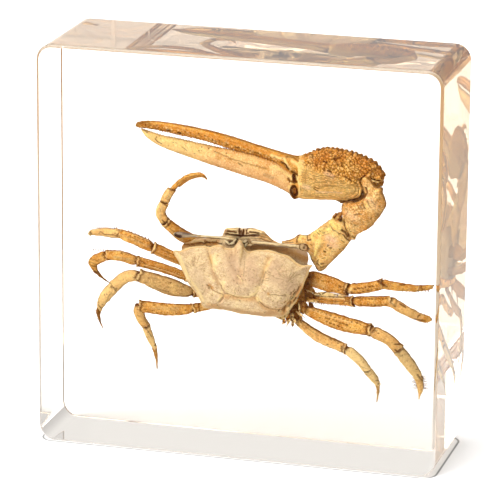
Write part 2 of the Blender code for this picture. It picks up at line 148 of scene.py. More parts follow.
# painted contact shadow: a thin grey line in the sheet's own colour round the block's foot
from_contact_shadow = add(tree, "ShaderNodeMath", {"operation": "SUBTRACT", 1: CONTACT_SHADOW_DISTANCE}, i0=gap)
from_contact_shadow = add(tree, "ShaderNodeMath", {"operation": "ABSOLUTE"}, i0=from_contact_shadow.outputs["Value"])
contact_shadow_grey = {1: CONTACT_SHADOW_CORE, 2: CONTACT_SHADOW_EDGE, 3: CONTACT_SHADOW_GREY, 4: SHEET_GREY}
contact_shadow_grey = add(tree, "ShaderNodeMapRange", contact_shadow_grey, i0=from_contact_shadow.outputs["Value"])
# painted shade: the sheet's base colour turns darker and warmer far out to the right
rightward = fade_along(tree, place, SHADE_WAY, SHADE_START, SHADE_END)
forward = fade_along(tree, place, EDGE_WAY, -EDGE_FADE, EDGE_FADE)
shade = add(tree, "ShaderNodeMath", {"operation": "MULTIPLY"}, i0=rightward, i1=forward)
shaded = {"data_type": "RGBA", "blend_type": "MULTIPLY", 7: to_linear(WARM_SHADE)}
white = add(tree, "ShaderNodeMix", shaded, i0=shade.outputs["Value"], i6=contact_shadow_grey.outputs["Result"])
tree.links.new(white.outputs[2], shader.inputs["Base Color"])
table_mesh.materials.append(acrylic)

# The camera: a long lens, a little above the block and to its right.
VIEW_AZIMUTH = 15.46
VIEW_ELEVATION = 16.19
VIEW_ROLL = 0.47
VIEW_DISTANCE = 641.0
VIEW_TARGET = Vector((-0.43, 0.0, 36.40))
FOCAL_LENGTH = 252.6
SENSOR_WIDTH = 36.0
azimuth, elevation = math.radians(VIEW_AZIMUTH), math.radians(VIEW_ELEVATION)
level = math.cos(elevation)
towards_camera = Vector((math.sin(azimuth) * level, -math.cos(azimuth) * level, math.sin(elevation)))
lens = bpy.data.cameras.new("long_lens")
lens.lens = FOCAL_LENGTH
lens.sensor_width = SENSOR_WIDTH
lens.clip_start = 0.01
lens.clip_end = 20.0
camera = bpy.data.objects.new("camera", lens)
stand = Matrix.Translation((VIEW_TARGET + towards_camera * VIEW_DISTANCE) * MM)
aim = (-towards_camera).to_track_quat("-Z", "Y").to_matrix().to_4x4()
camera.matrix_world = stand @ aim @ Matrix.Rotation(math.radians(VIEW_ROLL), 4, "Z")
collection.objects.link(camera)
bpy.context.scene.camera = camera
bpy.context.scene.view_settings.view_transform = "Standard"
bpy.context.scene.cycles.max_bounces = 24
bpy.context.scene.cycles.glossy_bounces = 16
bpy.context.scene.cycles.transmission_bounces = 24

# The block: clear casting resin, poured round the crab in layers in one mould, sawn square and polished on
# every face. It is one piece. Its faint straw tint only shows along the edges, where one looks through much
# of it.
BLOCK_WIDTH = 75.0
BLOCK_HEIGHT = 75.0
BLOCK_DEPTH = 23.0
CORNER_RADIUS = 3.0
FRONT_EDGE_RADIUS = 0.55
BACK_EDGE_RADIUS = 0.14
CORNER_STEPS = 16
EDGE_STEPS = 8
FLAT_FACE = 0.999


def block_rings():
    """The block's rings from front to back, and the direction that its surface faces at each point."""
    levels = []
    for way, radius in ((-1, FRONT_EDGE_RADIUS), (1, BACK_EDGE_RADIUS)):
        for i in range(EDGE_STEPS + 1):
            turn = math.pi / 2 * (i / EDGE_STEPS if way > 0 else 1 - i / EDGE_STEPS)
            depth = BLOCK_DEPTH / 2 - radius * (1 - math.sin(turn))
            levels.append((way * depth, radius * (1 - math.cos(turn)), way * turn))
    rings = []
    facing = []
    for depth, inset, tilt in levels:
        ring = []
        for corner in range(4):
            side_x = 1 if corner in (0, 3) else -1
            side_z = 1 if corner in (0, 1) else -1
            middle_x = side_x * (BLOCK_WIDTH / 2 - CORNER_RADIUS)
            middle_z = BLOCK_HEIGHT / 2 + side_z * (BLOCK_HEIGHT / 2 - CORNER_RADIUS)
            for step in range(CORNER_STEPS + 1):
                turn = math.pi / 2 * (corner + step / CORNER_STEPS)
                outward = Vector((math.cos(turn), 0, math.sin(turn)))
                ring.append(Vector((middle_x, depth, middle_z)) + outward * (CORNER_RADIUS - inset))
                facing.append(outward * math.cos(tilt) + Vector((0, math.sin(tilt), 0)))
        rings.append(ring)
    return rings, facing


def skin(name, rings):
    """A smooth closed piece over rings with equal numbers of points, in millimetres."""
    mesh = bpy.data.meshes.new(name)
    shape = bmesh.new()
    loops = [[shape.verts.new(point * MM) for point in ring] for ring in rings]
    count = len(rings[0])
    for ring, following in zip(loops, loops[1:]):
        for i in range(count):
            j = (i + 1) % count
            shape.faces.new((ring[i], ring[j], following[j], following[i]))
    shape.faces.new(loops[0][::-1])
    shape.faces.new(loops[-1])
    bmesh.ops.recalc_face_normals(shape, faces=shape.faces)
    shape.to_mesh(mesh)
    shape.free()
    mesh.shade_smooth()
    made = bpy.data.objects.new(name, mesh)
    collection.objects.link(made)
    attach(made, "root")
    return made


rings, facing = block_rings()
block = skin("resin_block", rings)
block.data.normals_split_custom_set_from_vertices(facing)
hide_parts("resin_front", "resin_back")


RESIN_IOR = 1.5
STRAW_TINT = "#FEF3E2"
STRAW_DENSITY = 19.0


def clear_resin(name, polish, glint):
    """Casting resin with one of its polishes: the colour that each pass keeps, and the colour of its glints.

    The eye gets a piece as clear as water, which bends what lies behind it and warms it where it is deep.
    """
    made, tree, shader = new_material(name)
    shader.inputs["Base Color"].default_value = to_linear(polish)
    shader.inputs["Specular Tint"].default_value = to_linear(glint)
    shader.inputs["Roughness"].default_value = 0.0
    shader.inputs["IOR"].default_value = RESIN_IOR
    shader.inputs["Transmission Weight"].default_value = 1.0
    straw = {"Color": to_linear(STRAW_TINT), "Density": STRAW_DENSITY}
    depth = add(tree, "ShaderNodeVolumeAbsorption", straw)
    tree.links.new(depth.outputs["Volume"], tree.nodes["Material Output"].inputs["Volume"])
    return made


# the front and back are polished until they nearly vanish; the sawn sides mirror the tent and look faintly
# warm
block.data.materials.append(clear_resin("cast_resin_high_polish", "#FFFFFF", "#404040"))
block.data.materials.append(clear_resin("cast_resin_sawn_side_polish", "#FBF9F8", "#FFFFFF"))
for face in block.data.polygons:
    face.material_index = 0 if abs(face.normal.y) > FLAT_FACE else 1


# The body: the crab's shield, one piece of dried shell over its back, and the trunk under it with the mouth
# at the top. It is a little domed, with grooves round the middle lobe, a raised hem and a spike at each
# corner.
MARKS = ("dark", "pale", "deep", "grey")
# both outlines as x and height, round from the left spike over the front edge
SHIELD_OUTLINE = (
    (-13.3, 36.8), (-12.0, 36.9), (-10.3, 37.7), (-8.6, 38.1), (-6.8, 38.3), (-4.3, 38.6), (-3.6, 38.2),
    (-2.5, 38.1), (-1.7, 38.5), (-1.2, 39.3), (-0.7, 40.0), (-0.2, 39.4), (0.2, 38.6), (1.1, 38.0),
    (3.1, 38.4), (5.0, 38.4), (7.0, 38.1), (8.8, 37.4), (10.0, 36.6), (11.3, 36.1), (12.9, 36.4),
    (12.3, 35.2), (11.6, 33.3), (11.0, 31.4), (9.6, 28.8), (7.6, 26.3), (4.0, 25.95), (-0.9, 26.1),
    (-4.3, 26.45), (-6.8, 26.5), (-7.8, 27.1), (-8.8, 29.1), (-10.3, 30.9), (-11.2, 32.7), (-12.2, 34.9),
)
TRUNK_OUTLINE = (
    (-12.0, 36.7), (-11.7, 37.9), (-10.2, 38.6), (-9.0, 39.2), (-5.9, 39.4), (-4.5, 39.9), (-4.1, 40.8),
    (-3.3, 41.3), (-1.3, 41.7), (0.6, 41.8), (2.1, 41.6), (3.6, 41.2), (4.5, 40.5), (5.6, 39.8),
    (8.0, 39.2), (11.2, 38.6), (11.8, 36.9), (11.3, 35.0), (10.4, 32.4), (9.2, 29.0), (7.2, 26.8),
    (3.0, 26.3), (-3.0, 26.5), (-6.4, 27.0), (-8.4, 30.0), (-10.6, 33.6),
)
BODY_MIDDLE = (0.0, 32.0)
# the depths of the shield's highest point and of its edge, and how flat its dome is
CROWN = -6.15
HEM = -3.0
DOME_POWER = 3.6
# rings as shares of an outline and depths: in under the hem, behind the shield, and round the trunk to its
# back
HEM_TURN = ((1.004, -2.88), (1.0, -2.76), (0.985, -2.66), (0.965, -2.5), (0.94, -2.0), (0.8, -1.7))
HOLLOW = ((0.7, -1.2), (0.86, -1.3), (0.93, -1.32))
TRUNK_BACK = (
    (1.0, -0.6), (0.985, -0.2), (0.965, 0.2), (0.94, 0.6), (0.91, 1.3), (0.86, 2.2), (0.79, 3.2),
    (0.70, 4.2), (0.58, 4.9), (0.42, 5.4), (0.22, 5.7), (0.02, 5.8),
)
# the shield's rings with painted light: painted shade just inside its hem, a painted highlight on the hem,
# and painted shade in under it
INNER_HEM_SHADE_RINGS = slice(80, 86)
HEM_HIGHLIGHT_RINGS = slice(82, 88)
UNDER_HEM_SHADE_RINGS = slice(88, None)


def smooth(share):
    """Ease a share in and out between 0 and 1."""
    share = np.clip(share, 0.0, 1.0)
    return share * share * (3 - 2 * share)


def flowing(rows, spacing, closed=False):
    """A smooth line through rows that begin with x, depth and height, as evenly spaced rows."""
    rows = np.array(rows, float)
    if closed:
        rows = np.concatenate((rows[-1:], rows, rows[:2]))
    else:
        rows = np.concatenate((2 * rows[:1] - rows[1:2], rows, 2 * rows[-1:] - rows[-2:-1]))
    steps = np.linspace(0.0, 1.0, 24, endpoint=False)[:, None]
    line = []
    for a, b, c, d in zip(rows, rows[1:], rows[2:], rows[3:]):
        bend = (2 * a - 5 * b + 4 * c - d) * steps**2 + (3 * b - a - 3 * c + d) * steps**3
        line.append(b + ((c - a) * steps + bend) / 2)
    line = np.concatenate(line + [rows[-2:-1]])
    way = np.concatenate(([0.0], np.cumsum(np.linalg.norm(np.diff(line[:, :3], axis=0), axis=1))))
    stops = np.linspace(0.0, way[-1], max(int(way[-1] / spacing), 4))
    return np.stack([np.interp(stops, way, column) for column in line.T], axis=1)


def distance(places, line):
    """How far places lie from a line."""
    gap = np.full(places.shape[:-1], np.inf)
    for start, end in list(zip(line, line[1:])) or [(line[0], line[0])]:
        start, run = np.array(start), np.subtract(end, start)
        share = np.clip((places - start) @ run / max(run @ run, 1e-9), 0.0, 1.0)
        gap = np.minimum(gap, np.linalg.norm(places - start - share[..., None] * run, axis=-1))
    return gap


# a fixed seed, because the noise that strokes waver by would otherwise start from the clock
NOISE_SEED = 3
noise.seed_set(NOISE_SEED)


class Shell:
    """Rings of points over one part of the crab, in millimetres, with the strength of each mark there."""

    def __init__(self, rings):
        self.points = np.array(rings, float)
        self.marks = {mark: np.zeros(self.points.shape[:2]) for mark in MARKS}
        # strokes waver a little, as if drawn by hand
        flat = self.points.reshape(-1, 3) / 0.7
        shift = np.array([noise.noise_vector(Vector(point)) for point in flat.tolist()])[:, ::2]
        self.places = self.points[..., ::2] + 0.1 * shift.reshape(*self.points.shape[:2], 2)

    def outward(self):
        """The way out of the surface at each point."""
        along = np.gradient(self.points, axis=0)
        around = np.roll(self.points, -1, axis=1) - np.roll(self.points, 1, axis=1)
        out = np.cross(along, around)
        out /= np.linalg.norm(out, axis=-1, keepdims=True) + 1e-12
        from_middle = self.points - self.points.mean(axis=1, keepdims=True)
        return out if (out * from_middle).sum() > 0 else -out

    def raised(self, height):
        """Move the surface out by a height in millimetres at each point."""
        self.points += self.outward() * height[..., None]

    def mark(self, kind, strength):
        """Colour the shell, all over or point by point; where marks overlap the stronger one stays."""
        self.marks[kind] = np.maximum(self.marks[kind], strength)

    def draw(self, strokes, stain=0.7):
        """Draw strokes: a mark or "relief", its strength or height, its radius, and its line as x and height.

        Dark strokes have soft amber margins as strong as their stain.
        """
        for kind, strength, radius, *line in strokes:
            gap = distance(self.places, line) / radius
            if kind == "relief":
                self.raised(strength * smooth(1 - gap))
            elif kind == "dark":
                self.mark("dark", strength * smooth(1.6 * (1 - gap)))
                self.mark("deep", stain * strength * smooth(1 - gap / 2.0))
            else:
                self.mark(kind, strength * smooth(1 - gap))

    def cloud(self, size, start=0.0):
        """Soft noise at each point, of one size in millimetres."""
        flat = self.points.reshape(-1, 3) / size + start
        values = [noise.noise(Vector(point)) for point in flat.tolist()]
        return np.array(values).reshape(self.points.shape[:2])

    def roughen(self, size, height):
        """Uneven skin, with hollows and swellings of one size in millimetres."""
        self.raised(height * self.cloud(size))

    def blotch(self, kind, strength, size, where=1.0):
        """Ragged blotches of one mark, of one size in millimetres."""
        self.mark(kind, strength * where * smooth((self.cloud(size, 31.7) - 0.02) / 0.22))


def crab_piece(name, shells, finish, slot, *nodes):
    """One piece of the crab, which stands for its plain solid."""
    points = []
    faces = []
    count = 0
    for shell in shells:
        rings, sides = shell.points.shape[:2]
        index = count + np.arange(rings * sides).reshape(rings, sides)
        beside = np.roll(index, -1, axis=1)
        faces += np.stack((index[:-1], beside[:-1], beside[1:], index[1:]), axis=-1).reshape(-1, 4).tolist()
        faces += [index[0][::-1].tolist(), index[-1].tolist()]
        points.append(shell.points.reshape(-1, 3) * MM)
        count += rings * sides
    mesh = bpy.data.meshes.new(name)
    mesh.from_pydata(np.concatenate(points).tolist(), [], faces)
    shape = bmesh.new()
    shape.from_mesh(mesh)
    bmesh.ops.recalc_face_normals(shape, faces=shape.faces)
    shape.to_mesh(mesh)
    shape.free()
    for mark in MARKS:
        strength = np.concatenate([shell.marks[mark].ravel() for shell in shells])
        mesh.attributes.new(mark, "FLOAT", "POINT").data.foreach_set("value", strength)
    mesh.shade_smooth()
    mesh.materials.append(finish)
    made = bpy.data.objects.new(name, mesh)
    collection.objects.link(made)
    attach(made, "root")
    if nodes:
        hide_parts(*nodes)
    return made


# the roughness of the shell's smoothest and coarsest spots, and how much light it mirrors
SHELL_ROUGHNESS = (0.40, 0.65)
SHELL_GLOSS = 0.04


def dried_shell(name, ground, mottle, **layers):
    """Dried crab shell: thin horn, yellowed in patches, with fine creases, dark pores and a dull, oily gloss.

    The eye gets soft patches of two ambers, then one layer of colour after another: a yellow glow where the
    horn is thin, squiggly creases, fine pores, bright flecks of painted glint, and darker or paler colour where
    the marks are, some of which are painted shade and highlights.
    Sizes are in millimetres, as on real shell, but the pores are drawn about twice as coarse, to show.
    """
    made, tree, shader = new_material(name)
    spot = add(tree, "ShaderNodeTexCoord").outputs["Object"]

    def speckle(size, low, high, **form):
        """A noise of one size, and the same noise as spots that start at low and are full at high."""
        form = {"Scale": 1 / (size * MM), "Detail": 3.0, "Roughness": 0.65, **form}
        cloud = add(tree, "ShaderNodeTexNoise", form, Vector=spot).outputs["Fac"]
        soft = {"interpolation_type": "SMOOTHSTEP", 1: low, 2: high}
        return cloud, add(tree, "ShaderNodeMapRange", soft, i0=cloud).outputs["Result"]

    _, patches = speckle(2.2, 0.40, 0.62)
    _, glow = speckle(0.75, 0.48, 0.62)
    pores, grain = speckle(0.30, 0.50, 0.68)
    # bright flecks of painted glint
    _, fleck = speckle(0.24, 0.54, 0.64, Detail=1.5)
    contour, _ = speckle(1.1, 0.0, 1.0, Distortion=1.4, Detail=1.5)
    off = add(tree, "ShaderNodeMath", {"operation": "SUBTRACT", 1: 0.5}, i0=contour)
    off = add(tree, "ShaderNodeMath", {"operation": "ABSOLUTE"}, i0=off.outputs["Value"])
    narrow = {1: 0.0, 2: 0.028, 3: 1.0, 4: 0.0}
    crease = add(tree, "ShaderNodeMapRange", narrow, i0=off.outputs["Value"]).outputs["Result"]
    amounts = {"glow": glow, "grain": grain, "fleck": fleck, "crease": crease}
    colours = {"data_type": "RGBA", 6: to_linear(ground), 7: to_linear(mottle)}
    colour = add(tree, "ShaderNodeMix", colours, i0=patches).outputs[2]
    for kind, (strength, tint) in layers.items():
        if kind in MARKS:
            amounts[kind] = add(tree, "ShaderNodeAttribute", {"attribute_name": kind}).outputs["Fac"]
        part = add(tree, "ShaderNodeMath", {"operation": "MULTIPLY", 1: strength}, i0=amounts[kind])
        colours = {"data_type": "RGBA", 7: to_linear(tint)}
        colour = add(tree, "ShaderNodeMix", colours, i0=part.outputs["Value"], i6=colour).outputs[2]
    tree.links.new(colour, shader.inputs["Base Color"])
    finest, coarsest = SHELL_ROUGHNESS
    dull = add(tree, "ShaderNodeMapRange", {1: 0.3, 2: 0.7, 3: finest, 4: coarsest}, i0=pores)
    tree.links.new(dull.outputs["Result"], shader.inputs["Roughness"])
    shader.inputs["Specular IOR Level"].default_value = SHELL_GLOSS
    fine = add(tree, "ShaderNodeBump", {"Strength": 0.5, "Distance": 0.08 * MM}, Height=pores)
    folds = {"Strength": 0.8, "Distance": 0.10 * MM, "invert": True}
    folded = add(tree, "ShaderNodeBump", folds, Height=crease, Normal=fine.outputs["Normal"])
    tree.links.new(folded.outputs["Normal"], shader.inputs["Normal"])
    return made


def specked(shell, number, seed, where, radius):
    """Dark specks of worn pores within a box given as left, right, bottom and top."""
    chance = random.Random(seed)
    left, right, bottom, top = where
    for _ in range(number):
        x, z = chance.uniform(left, right), chance.uniform(bottom, top)
        end = x + chance.uniform(-0.25, 0.25), z + chance.uniform(-0.1, 0.1)
        speck = ("dark", chance.uniform(0.3, 0.85), radius * chance.uniform(0.6, 1.3), (x, z), end)
        shell.draw([speck], stain=0.4)


def body_shells():
    """The shield, out from its crown and in under its hem, and the trunk from behind it to the back."""

    def outline(places):
        line = flowing([(x, 0, z) for x, z in places], 0.15, closed=True)
        return line[:-1, ::2] - BODY_MIDDLE

    shield, trunk = outline(SHIELD_OUTLINE), outline(TRUNK_OUTLINE)
    turns = np.arctan2(shield[:, 1], shield[:, 0])
    trunk_turns = np.arctan2(trunk[:, 1], trunk[:, 0])
    order = np.argsort(trunk_turns)
    shield_reach = np.linalg.norm(shield, axis=1)
    trunk_reach = np.linalg.norm(trunk, axis=1)[order]
    trunk_reach = np.interp(turns, trunk_turns[order], trunk_reach, period=2 * math.pi)

    def ring(reach, depth):
        middle_x, middle_z = BODY_MIDDLE
        depths = np.broadcast_to(depth, turns.shape)
        return np.stack((middle_x + reach * np.cos(turns), depths, middle_z + reach * np.sin(turns)), axis=1)

    top = []
    for share in np.concatenate((np.linspace(0.004, 0.88, 66), np.linspace(0.89, 1.0, 20))):
        inside = shield_reach * (1 - share)
        bead = 0.08 * np.exp(-(((inside - 0.22) / 0.16) ** 2))
        dip = 0.05 * np.exp(-(((inside - 0.8) / 0.28) ** 2))
        top.append(ring(shield_reach * share, CROWN + (HEM - CROWN) * share**DOME_POWER - bead + dip))
    top += [ring(shield_reach * share, depth) for share, depth in HEM_TURN]
    under = [ring(shield_reach * share, depth) for share, depth in HOLLOW]
    last_share, _ = HOLLOW[-1]
    for step in np.linspace(0.0, 1.0, 32):
        under.append(ring(shield_reach * last_share * (1 - step) + trunk_reach * step, -1.3 + 0.45 * step**3))
    under += [ring(trunk_reach * share, depth) for share, depth in TRUNK_BACK]
    return Shell(top), Shell(under)


SHIELD_STROKES = (
    # the groove down the left of the middle lobe, round under it, and up its right side
    ("relief", -0.30, 0.95, (-6.4, 38.2), (-5.8, 36.2), (-5.0, 34.0), (-4.4, 32.6), (-3.8, 31.7),
     (-3.5, 30.9), (-2.9, 30.2), (-1.3, 29.9), (1.2, 29.8), (2.9, 30.0), (3.6, 31.6), (4.2, 33.6),
     (4.4, 35.6), (5.3, 37.4)),
    ("relief", -0.14, 0.35, (-5.9, 37.0), (-5.0, 34.0), (-3.8, 31.7), (-2.9, 30.2), (-1.3, 29.9),
     (1.2, 29.8), (2.9, 30.0), (4.0, 33.0), (4.4, 35.6)),
    # lobes that swell between the grooves
    ("relief", 0.42, 3.3, (-8.8, 35.4), (-8.4, 33.0)), ("relief", 0.40, 3.4, (7.8, 34.6), (7.0, 32.4)),
    ("relief", 0.38, 2.4, (-2.6, 36.4), (-2.4, 34.6)), ("relief", 0.36, 2.4, (2.3, 35.6), (1.9, 34.4)),
    ("relief", 0.8, 2.5, (-0.6, 31.7), (0.9, 31.7)), ("relief", 0.35, 2.0, (-1.8, 32.1)),
    ("relief", 0.16, 1.2, (-4.6, 28.6), (-6.6, 28.9)), ("relief", 0.20, 1.6, (6.4, 29.4), (7.4, 29.8)),
    ("relief", 0.30, 1.3, (-3.0, 27.9), (0.4, 27.5), (4.0, 27.3)),
    # the ridge down from between the eyes, and the hollows beside it
    ("relief", 0.14, 0.45, (-0.3, 38.9), (-0.2, 38.0), (-0.1, 37.2)), ("relief", -0.16, 1.3, (-1.7, 37.7)),
    ("relief", -0.16, 1.3, (1.4, 37.3)), ("relief", -0.20, 0.8, (-0.2, 34.6), (-0.2, 33.4)),
    # smaller grooves at the bottom
    ("relief", -0.20, 0.45, (3.0, 29.9), (3.5, 29.2), (4.5, 28.3), (5.8, 27.8), (7.6, 27.7), (9.1, 28.5)),
    ("relief", -0.18, 0.45, (-3.2, 30.1), (-3.2, 29.5), (-3.9, 28.3), (-5.0, 27.6), (-6.1, 27.7)),
    ("relief", -0.14, 0.35, (-5.8, 31.1), (-5.2, 30.6), (-4.3, 30.2), (-3.2, 30.0)),
    ("relief", -0.25, 0.30, (-5.8, 31.1)), ("relief", -0.2, 0.25, (5.3, 30.8)),
    ("relief", -0.18, 0.5, (11.0, 32.6), (10.1, 30.8), (9.0, 29.2), (7.9, 27.6)),
    # painted highlights on the middle lobe's rims and the left margin, and yellow skin in the grooves beside it
    ("pale", 0.7, 0.34, (-3.6, 32.3), (-3.0, 31.1), (-1.7, 30.4), (0.0, 30.15), (1.7, 30.25), (3.1, 31.1),
     (3.7, 32.0)),
    ("relief", 0.14, 0.35, (-3.6, 32.3), (-3.0, 31.1), (-1.7, 30.4), (0.0, 30.15), (1.7, 30.25),
     (3.1, 31.1), (3.7, 32.0)),
    ("pale", 0.6, 0.5, (-5.7, 36.9), (-5.2, 35.4), (-4.8, 34.4)),
    ("pale", 0.5, 0.45, (5.5, 37.4), (5.0, 36.2), (4.7, 35.3)),
    ("pale", 0.75, 0.7, (-11.9, 36.1), (-11.1, 34.5), (-9.9, 32.3), (-8.5, 30.2), (-7.5, 28.2)),
    ("pale", 0.25, 0.3, (-4.9, 36.9), (-4.5, 35.6), (-4.6, 34.1), (-3.9, 33.2)),
    ("pale", 0.85, 0.3, (3.2, 30.2), (3.9, 29.3)),
    ("pale", 0.8, 0.3, (-3.6, 30.5), (-3.4, 29.7), (-4.2, 28.8)),
    ("relief", 0.10, 0.3, (-6.1, 30.9), (-5.2, 32.0), (-4.6, 33.2)),
    ("grey", 0.95, 2.6, (-1.6, 36.4), (-0.9, 34.2), (-0.2, 33.4)),
    ("grey", 0.9, 2.4, (1.8, 36.2), (2.2, 33.2)), ("grey", 0.7, 2.4, (6.4, 36.0), (7.0, 33.6), (8.6, 32.2)),
    ("grey", 0.5, 1.6, (-8.2, 33.8), (-7.0, 31.6)), ("grey", 0.6, 1.0, (-0.2, 31.5), (1.4, 31.4)),
    ("relief", -0.12, 0.3, (2.2, 35.6), (4.0, 35.4)),
    # creases along the lobes
    ("dark", 0.25, 0.12, (-6.6, 37.6), (-5.9, 36.2), (-5.5, 35.0)),
    ("dark", 0.5, 0.12, (4.7, 35.0), (4.3, 33.6), (3.9, 32.4)),
    ("dark", 0.2, 0.12, (-5.0, 34.6), (-4.4, 33.4), (-3.8, 32.6)),
    ("dark", 0.4, 0.1, (0.6, 36.4), (0.8, 34.8), (0.6, 33.8)),
    ("dark", 0.5, 0.12, (6.4, 30.8), (8.2, 30.7)), ("dark", 0.6, 0.14, (-6.3, 31.5), (-5.7, 31.1)),
    ("dark", 0.4, 0.1, (-6.6, 30.6), (-7.4, 29.4)),
    # stains and worn spots, and painted shade in the grooves and under the middle lobe
    ("deep", 0.3, 0.6, (-6.6, 38.0), (-6.0, 36.6), (-5.3, 34.6), (-4.9, 33.4), (-4.2, 32.0)),
    ("deep", 0.55, 0.9, (-3.4, 29.6), (-1.0, 29.6), (1.4, 29.5), (3.0, 29.6), (4.3, 28.3), (5.8, 27.6),
     (8.0, 27.4)),
    ("deep", 0.5, 1.3, (-6.0, 27.2), (-2.0, 26.9), (3.0, 26.7), (7.0, 27.0)),
    ("deep", 0.45, 1.1, (4.3, 34.0), (5.1, 37.2)), ("deep", 0.5, 1.1, (0.0, 34.6), (0.2, 33.0)),
    ("deep", 0.2, 1.3, (-1.4, 37.9), (-2.0, 36.9)),
    ("deep", 0.9, 0.9, (11.2, 32.4), (10.2, 30.6), (9.0, 28.8), (7.6, 27.0)),
    ("deep", 1.0, 0.6, (-5.8, 31.4), (-5.4, 31.0)), ("pale", 0.2, 0.3, (-5.7, 31.3)),
    ("dark", 0.7, 0.13, (-6.0, 31.0), (-5.9, 30.85)), ("pale", 0.8, 0.35, (9.9, 30.6), (9.2, 29.6)),
    ("dark", 0.8, 0.2, (10.0, 30.1), (9.6, 29.4)), ("dark", 0.8, 0.18, (9.2, 29.2), (8.8, 28.2)),
    ("pale", 0.7, 0.3, (9.0, 28.6), (8.4, 27.6)), ("dark", 0.7, 0.16, (8.4, 28.4), (7.8, 27.2)),
    ("relief", 0.25, 0.35, (9.8, 30.0)),
    ("dark", 0.55, 0.12, (-5.7, 31.0), (-5.2, 30.6), (-4.3, 30.2), (-3.3, 30.0)),
    ("dark", 0.5, 0.12, (-3.2, 29.9), (-3.2, 29.4), (-3.9, 28.3)),
    ("dark", 0.5, 0.10, (5.5, 30.7), (8.2, 30.8)),
    ("dark", 0.55, 0.13, (3.5, 29.2), (4.5, 28.3), (5.3, 27.9)),
    ("dark", 0.45, 0.12, (5.6, 27.8), (7.6, 27.6), (9.1, 28.5)),
    ("dark", 0.4, 0.12, (-3.7, 31.6), (-3.5, 30.9), (-2.9, 30.2), (-1.3, 29.9), (1.2, 29.8)),
    ("dark", 0.5, 0.16, (10.9, 32.4), (10.0, 30.6), (8.9, 29.0)),
    ("dark", 0.45, 0.14, (11.1, 31.6), (10.2, 29.8)), ("deep", 0.9, 0.6, (-5.95, 36.9), (-5.6, 35.8)),
    ("pale", 0.35, 0.45, (-5.95, 37.0), (-5.6, 35.7)), ("deep", 0.9, 0.5, (5.0, 36.4), (4.7, 35.6)),
    ("pale", 0.3, 0.4, (5.1, 36.9), (4.7, 35.8)),
    ("pale", 0.9, 0.2, (-0.5, 33.75), (0.15, 33.45), (0.5, 32.95)),
    ("relief", 0.22, 0.25, (-0.5, 33.75), (0.15, 33.45), (0.5, 32.95)),
    ("relief", -0.16, 0.35, (-3.5, 32.9), (-2.4, 33.3), (-1.2, 33.1)),
    ("relief", -0.14, 0.35, (0.9, 33.2), (2.2, 33.3), (3.5, 32.7)),
    ("pale", 0.6, 0.5, (-3.2, 32.4), (-3.0, 31.6)),
    ("pale", 0.6, 0.35, (-0.35, 38.8), (-0.2, 38.0), (-0.1, 37.2)),
    ("pale", 0.7, 0.35, (3.0, 29.8), (3.6, 29.1)),
    ("pale", 0.6, 0.9, (-12.4, 35.8), (-11.6, 34.4), (-10.4, 32.4)), ("deep", 1.0, 0.55, (5.3, 30.85)),
    ("pale", 0.2, 0.25, (5.3, 30.85)), ("pale", 0.5, 0.45, (3.2, 32.0), (2.8, 31.5)),
    ("pale", 0.8, 0.4, (-5.0, 32.4)), ("pale", 0.6, 0.35, (-3.3, 29.7)),
    ("pale", 0.6, 1.0, (-5.1, 36.6), (-4.8, 35.6)),
)


def shield_veins(shell):
    """Fine cracks that fan out over the side lobes, a worn right margin, and specks on the middle lobe."""
    chance = random.Random(7)
    # each fan's root, its first and last turn in degrees, and how long its cracks are
    fans = (
        ((8.6, 33.6), 30.0, 165.0, 2.6), ((-8.6, 34.4), 10.0, 170.0, 2.4), ((6.2, 34.0), 120.0, 200.0, 1.6),
    )
    for (x, z), first, last, length in fans:
        for turn in np.linspace(first, last, 7):
            turn = math.radians(turn + chance.uniform(-9, 9))
            start, end = chance.uniform(0.4, 0.9), length * chance.uniform(0.7, 1.15)
            line = [(x + r * math.cos(turn), z + r * math.sin(turn)) for r in (start, end)]
            shell.draw([("dark", 0.32, 0.10, *line), ("relief", -0.05, 0.18, *line)])
    for _ in range(34):
        share, inward = chance.random(), chance.uniform(0.05, 1.1)
        x, z = 11.6 - 4.0 * share - 0.84 * inward, 33.0 - 6.0 * share + 0.54 * inward
        kind = chance.choice(("dark", "deep", "pale"))
        strength, radius = chance.uniform(0.5, 0.9), chance.uniform(0.10, 0.17)
        shell.draw([(kind, strength, radius, (x, z), (x - 0.25, z - 0.42))])
    for _ in range(70):
        x, z = chance.gauss(-0.2, 2.8), chance.gauss(33.6, 1.7)
        shell.draw([("dark", chance.uniform(0.2, 0.7), chance.uniform(0.07, 0.15), (x, z))])
    for _ in range(60):
        x, z, turn = chance.uniform(-10.0, 9.5), chance.uniform(27.0, 37.5), chance.uniform(0.0, 6.3)
        line = [(x, z), (x + 0.35 * math.cos(turn), z + 0.35 * math.sin(turn))]
        shell.draw([("dark", chance.uniform(0.25, 0.55), 0.10, *line), ("pale", 0.5, 0.25, line[1])])


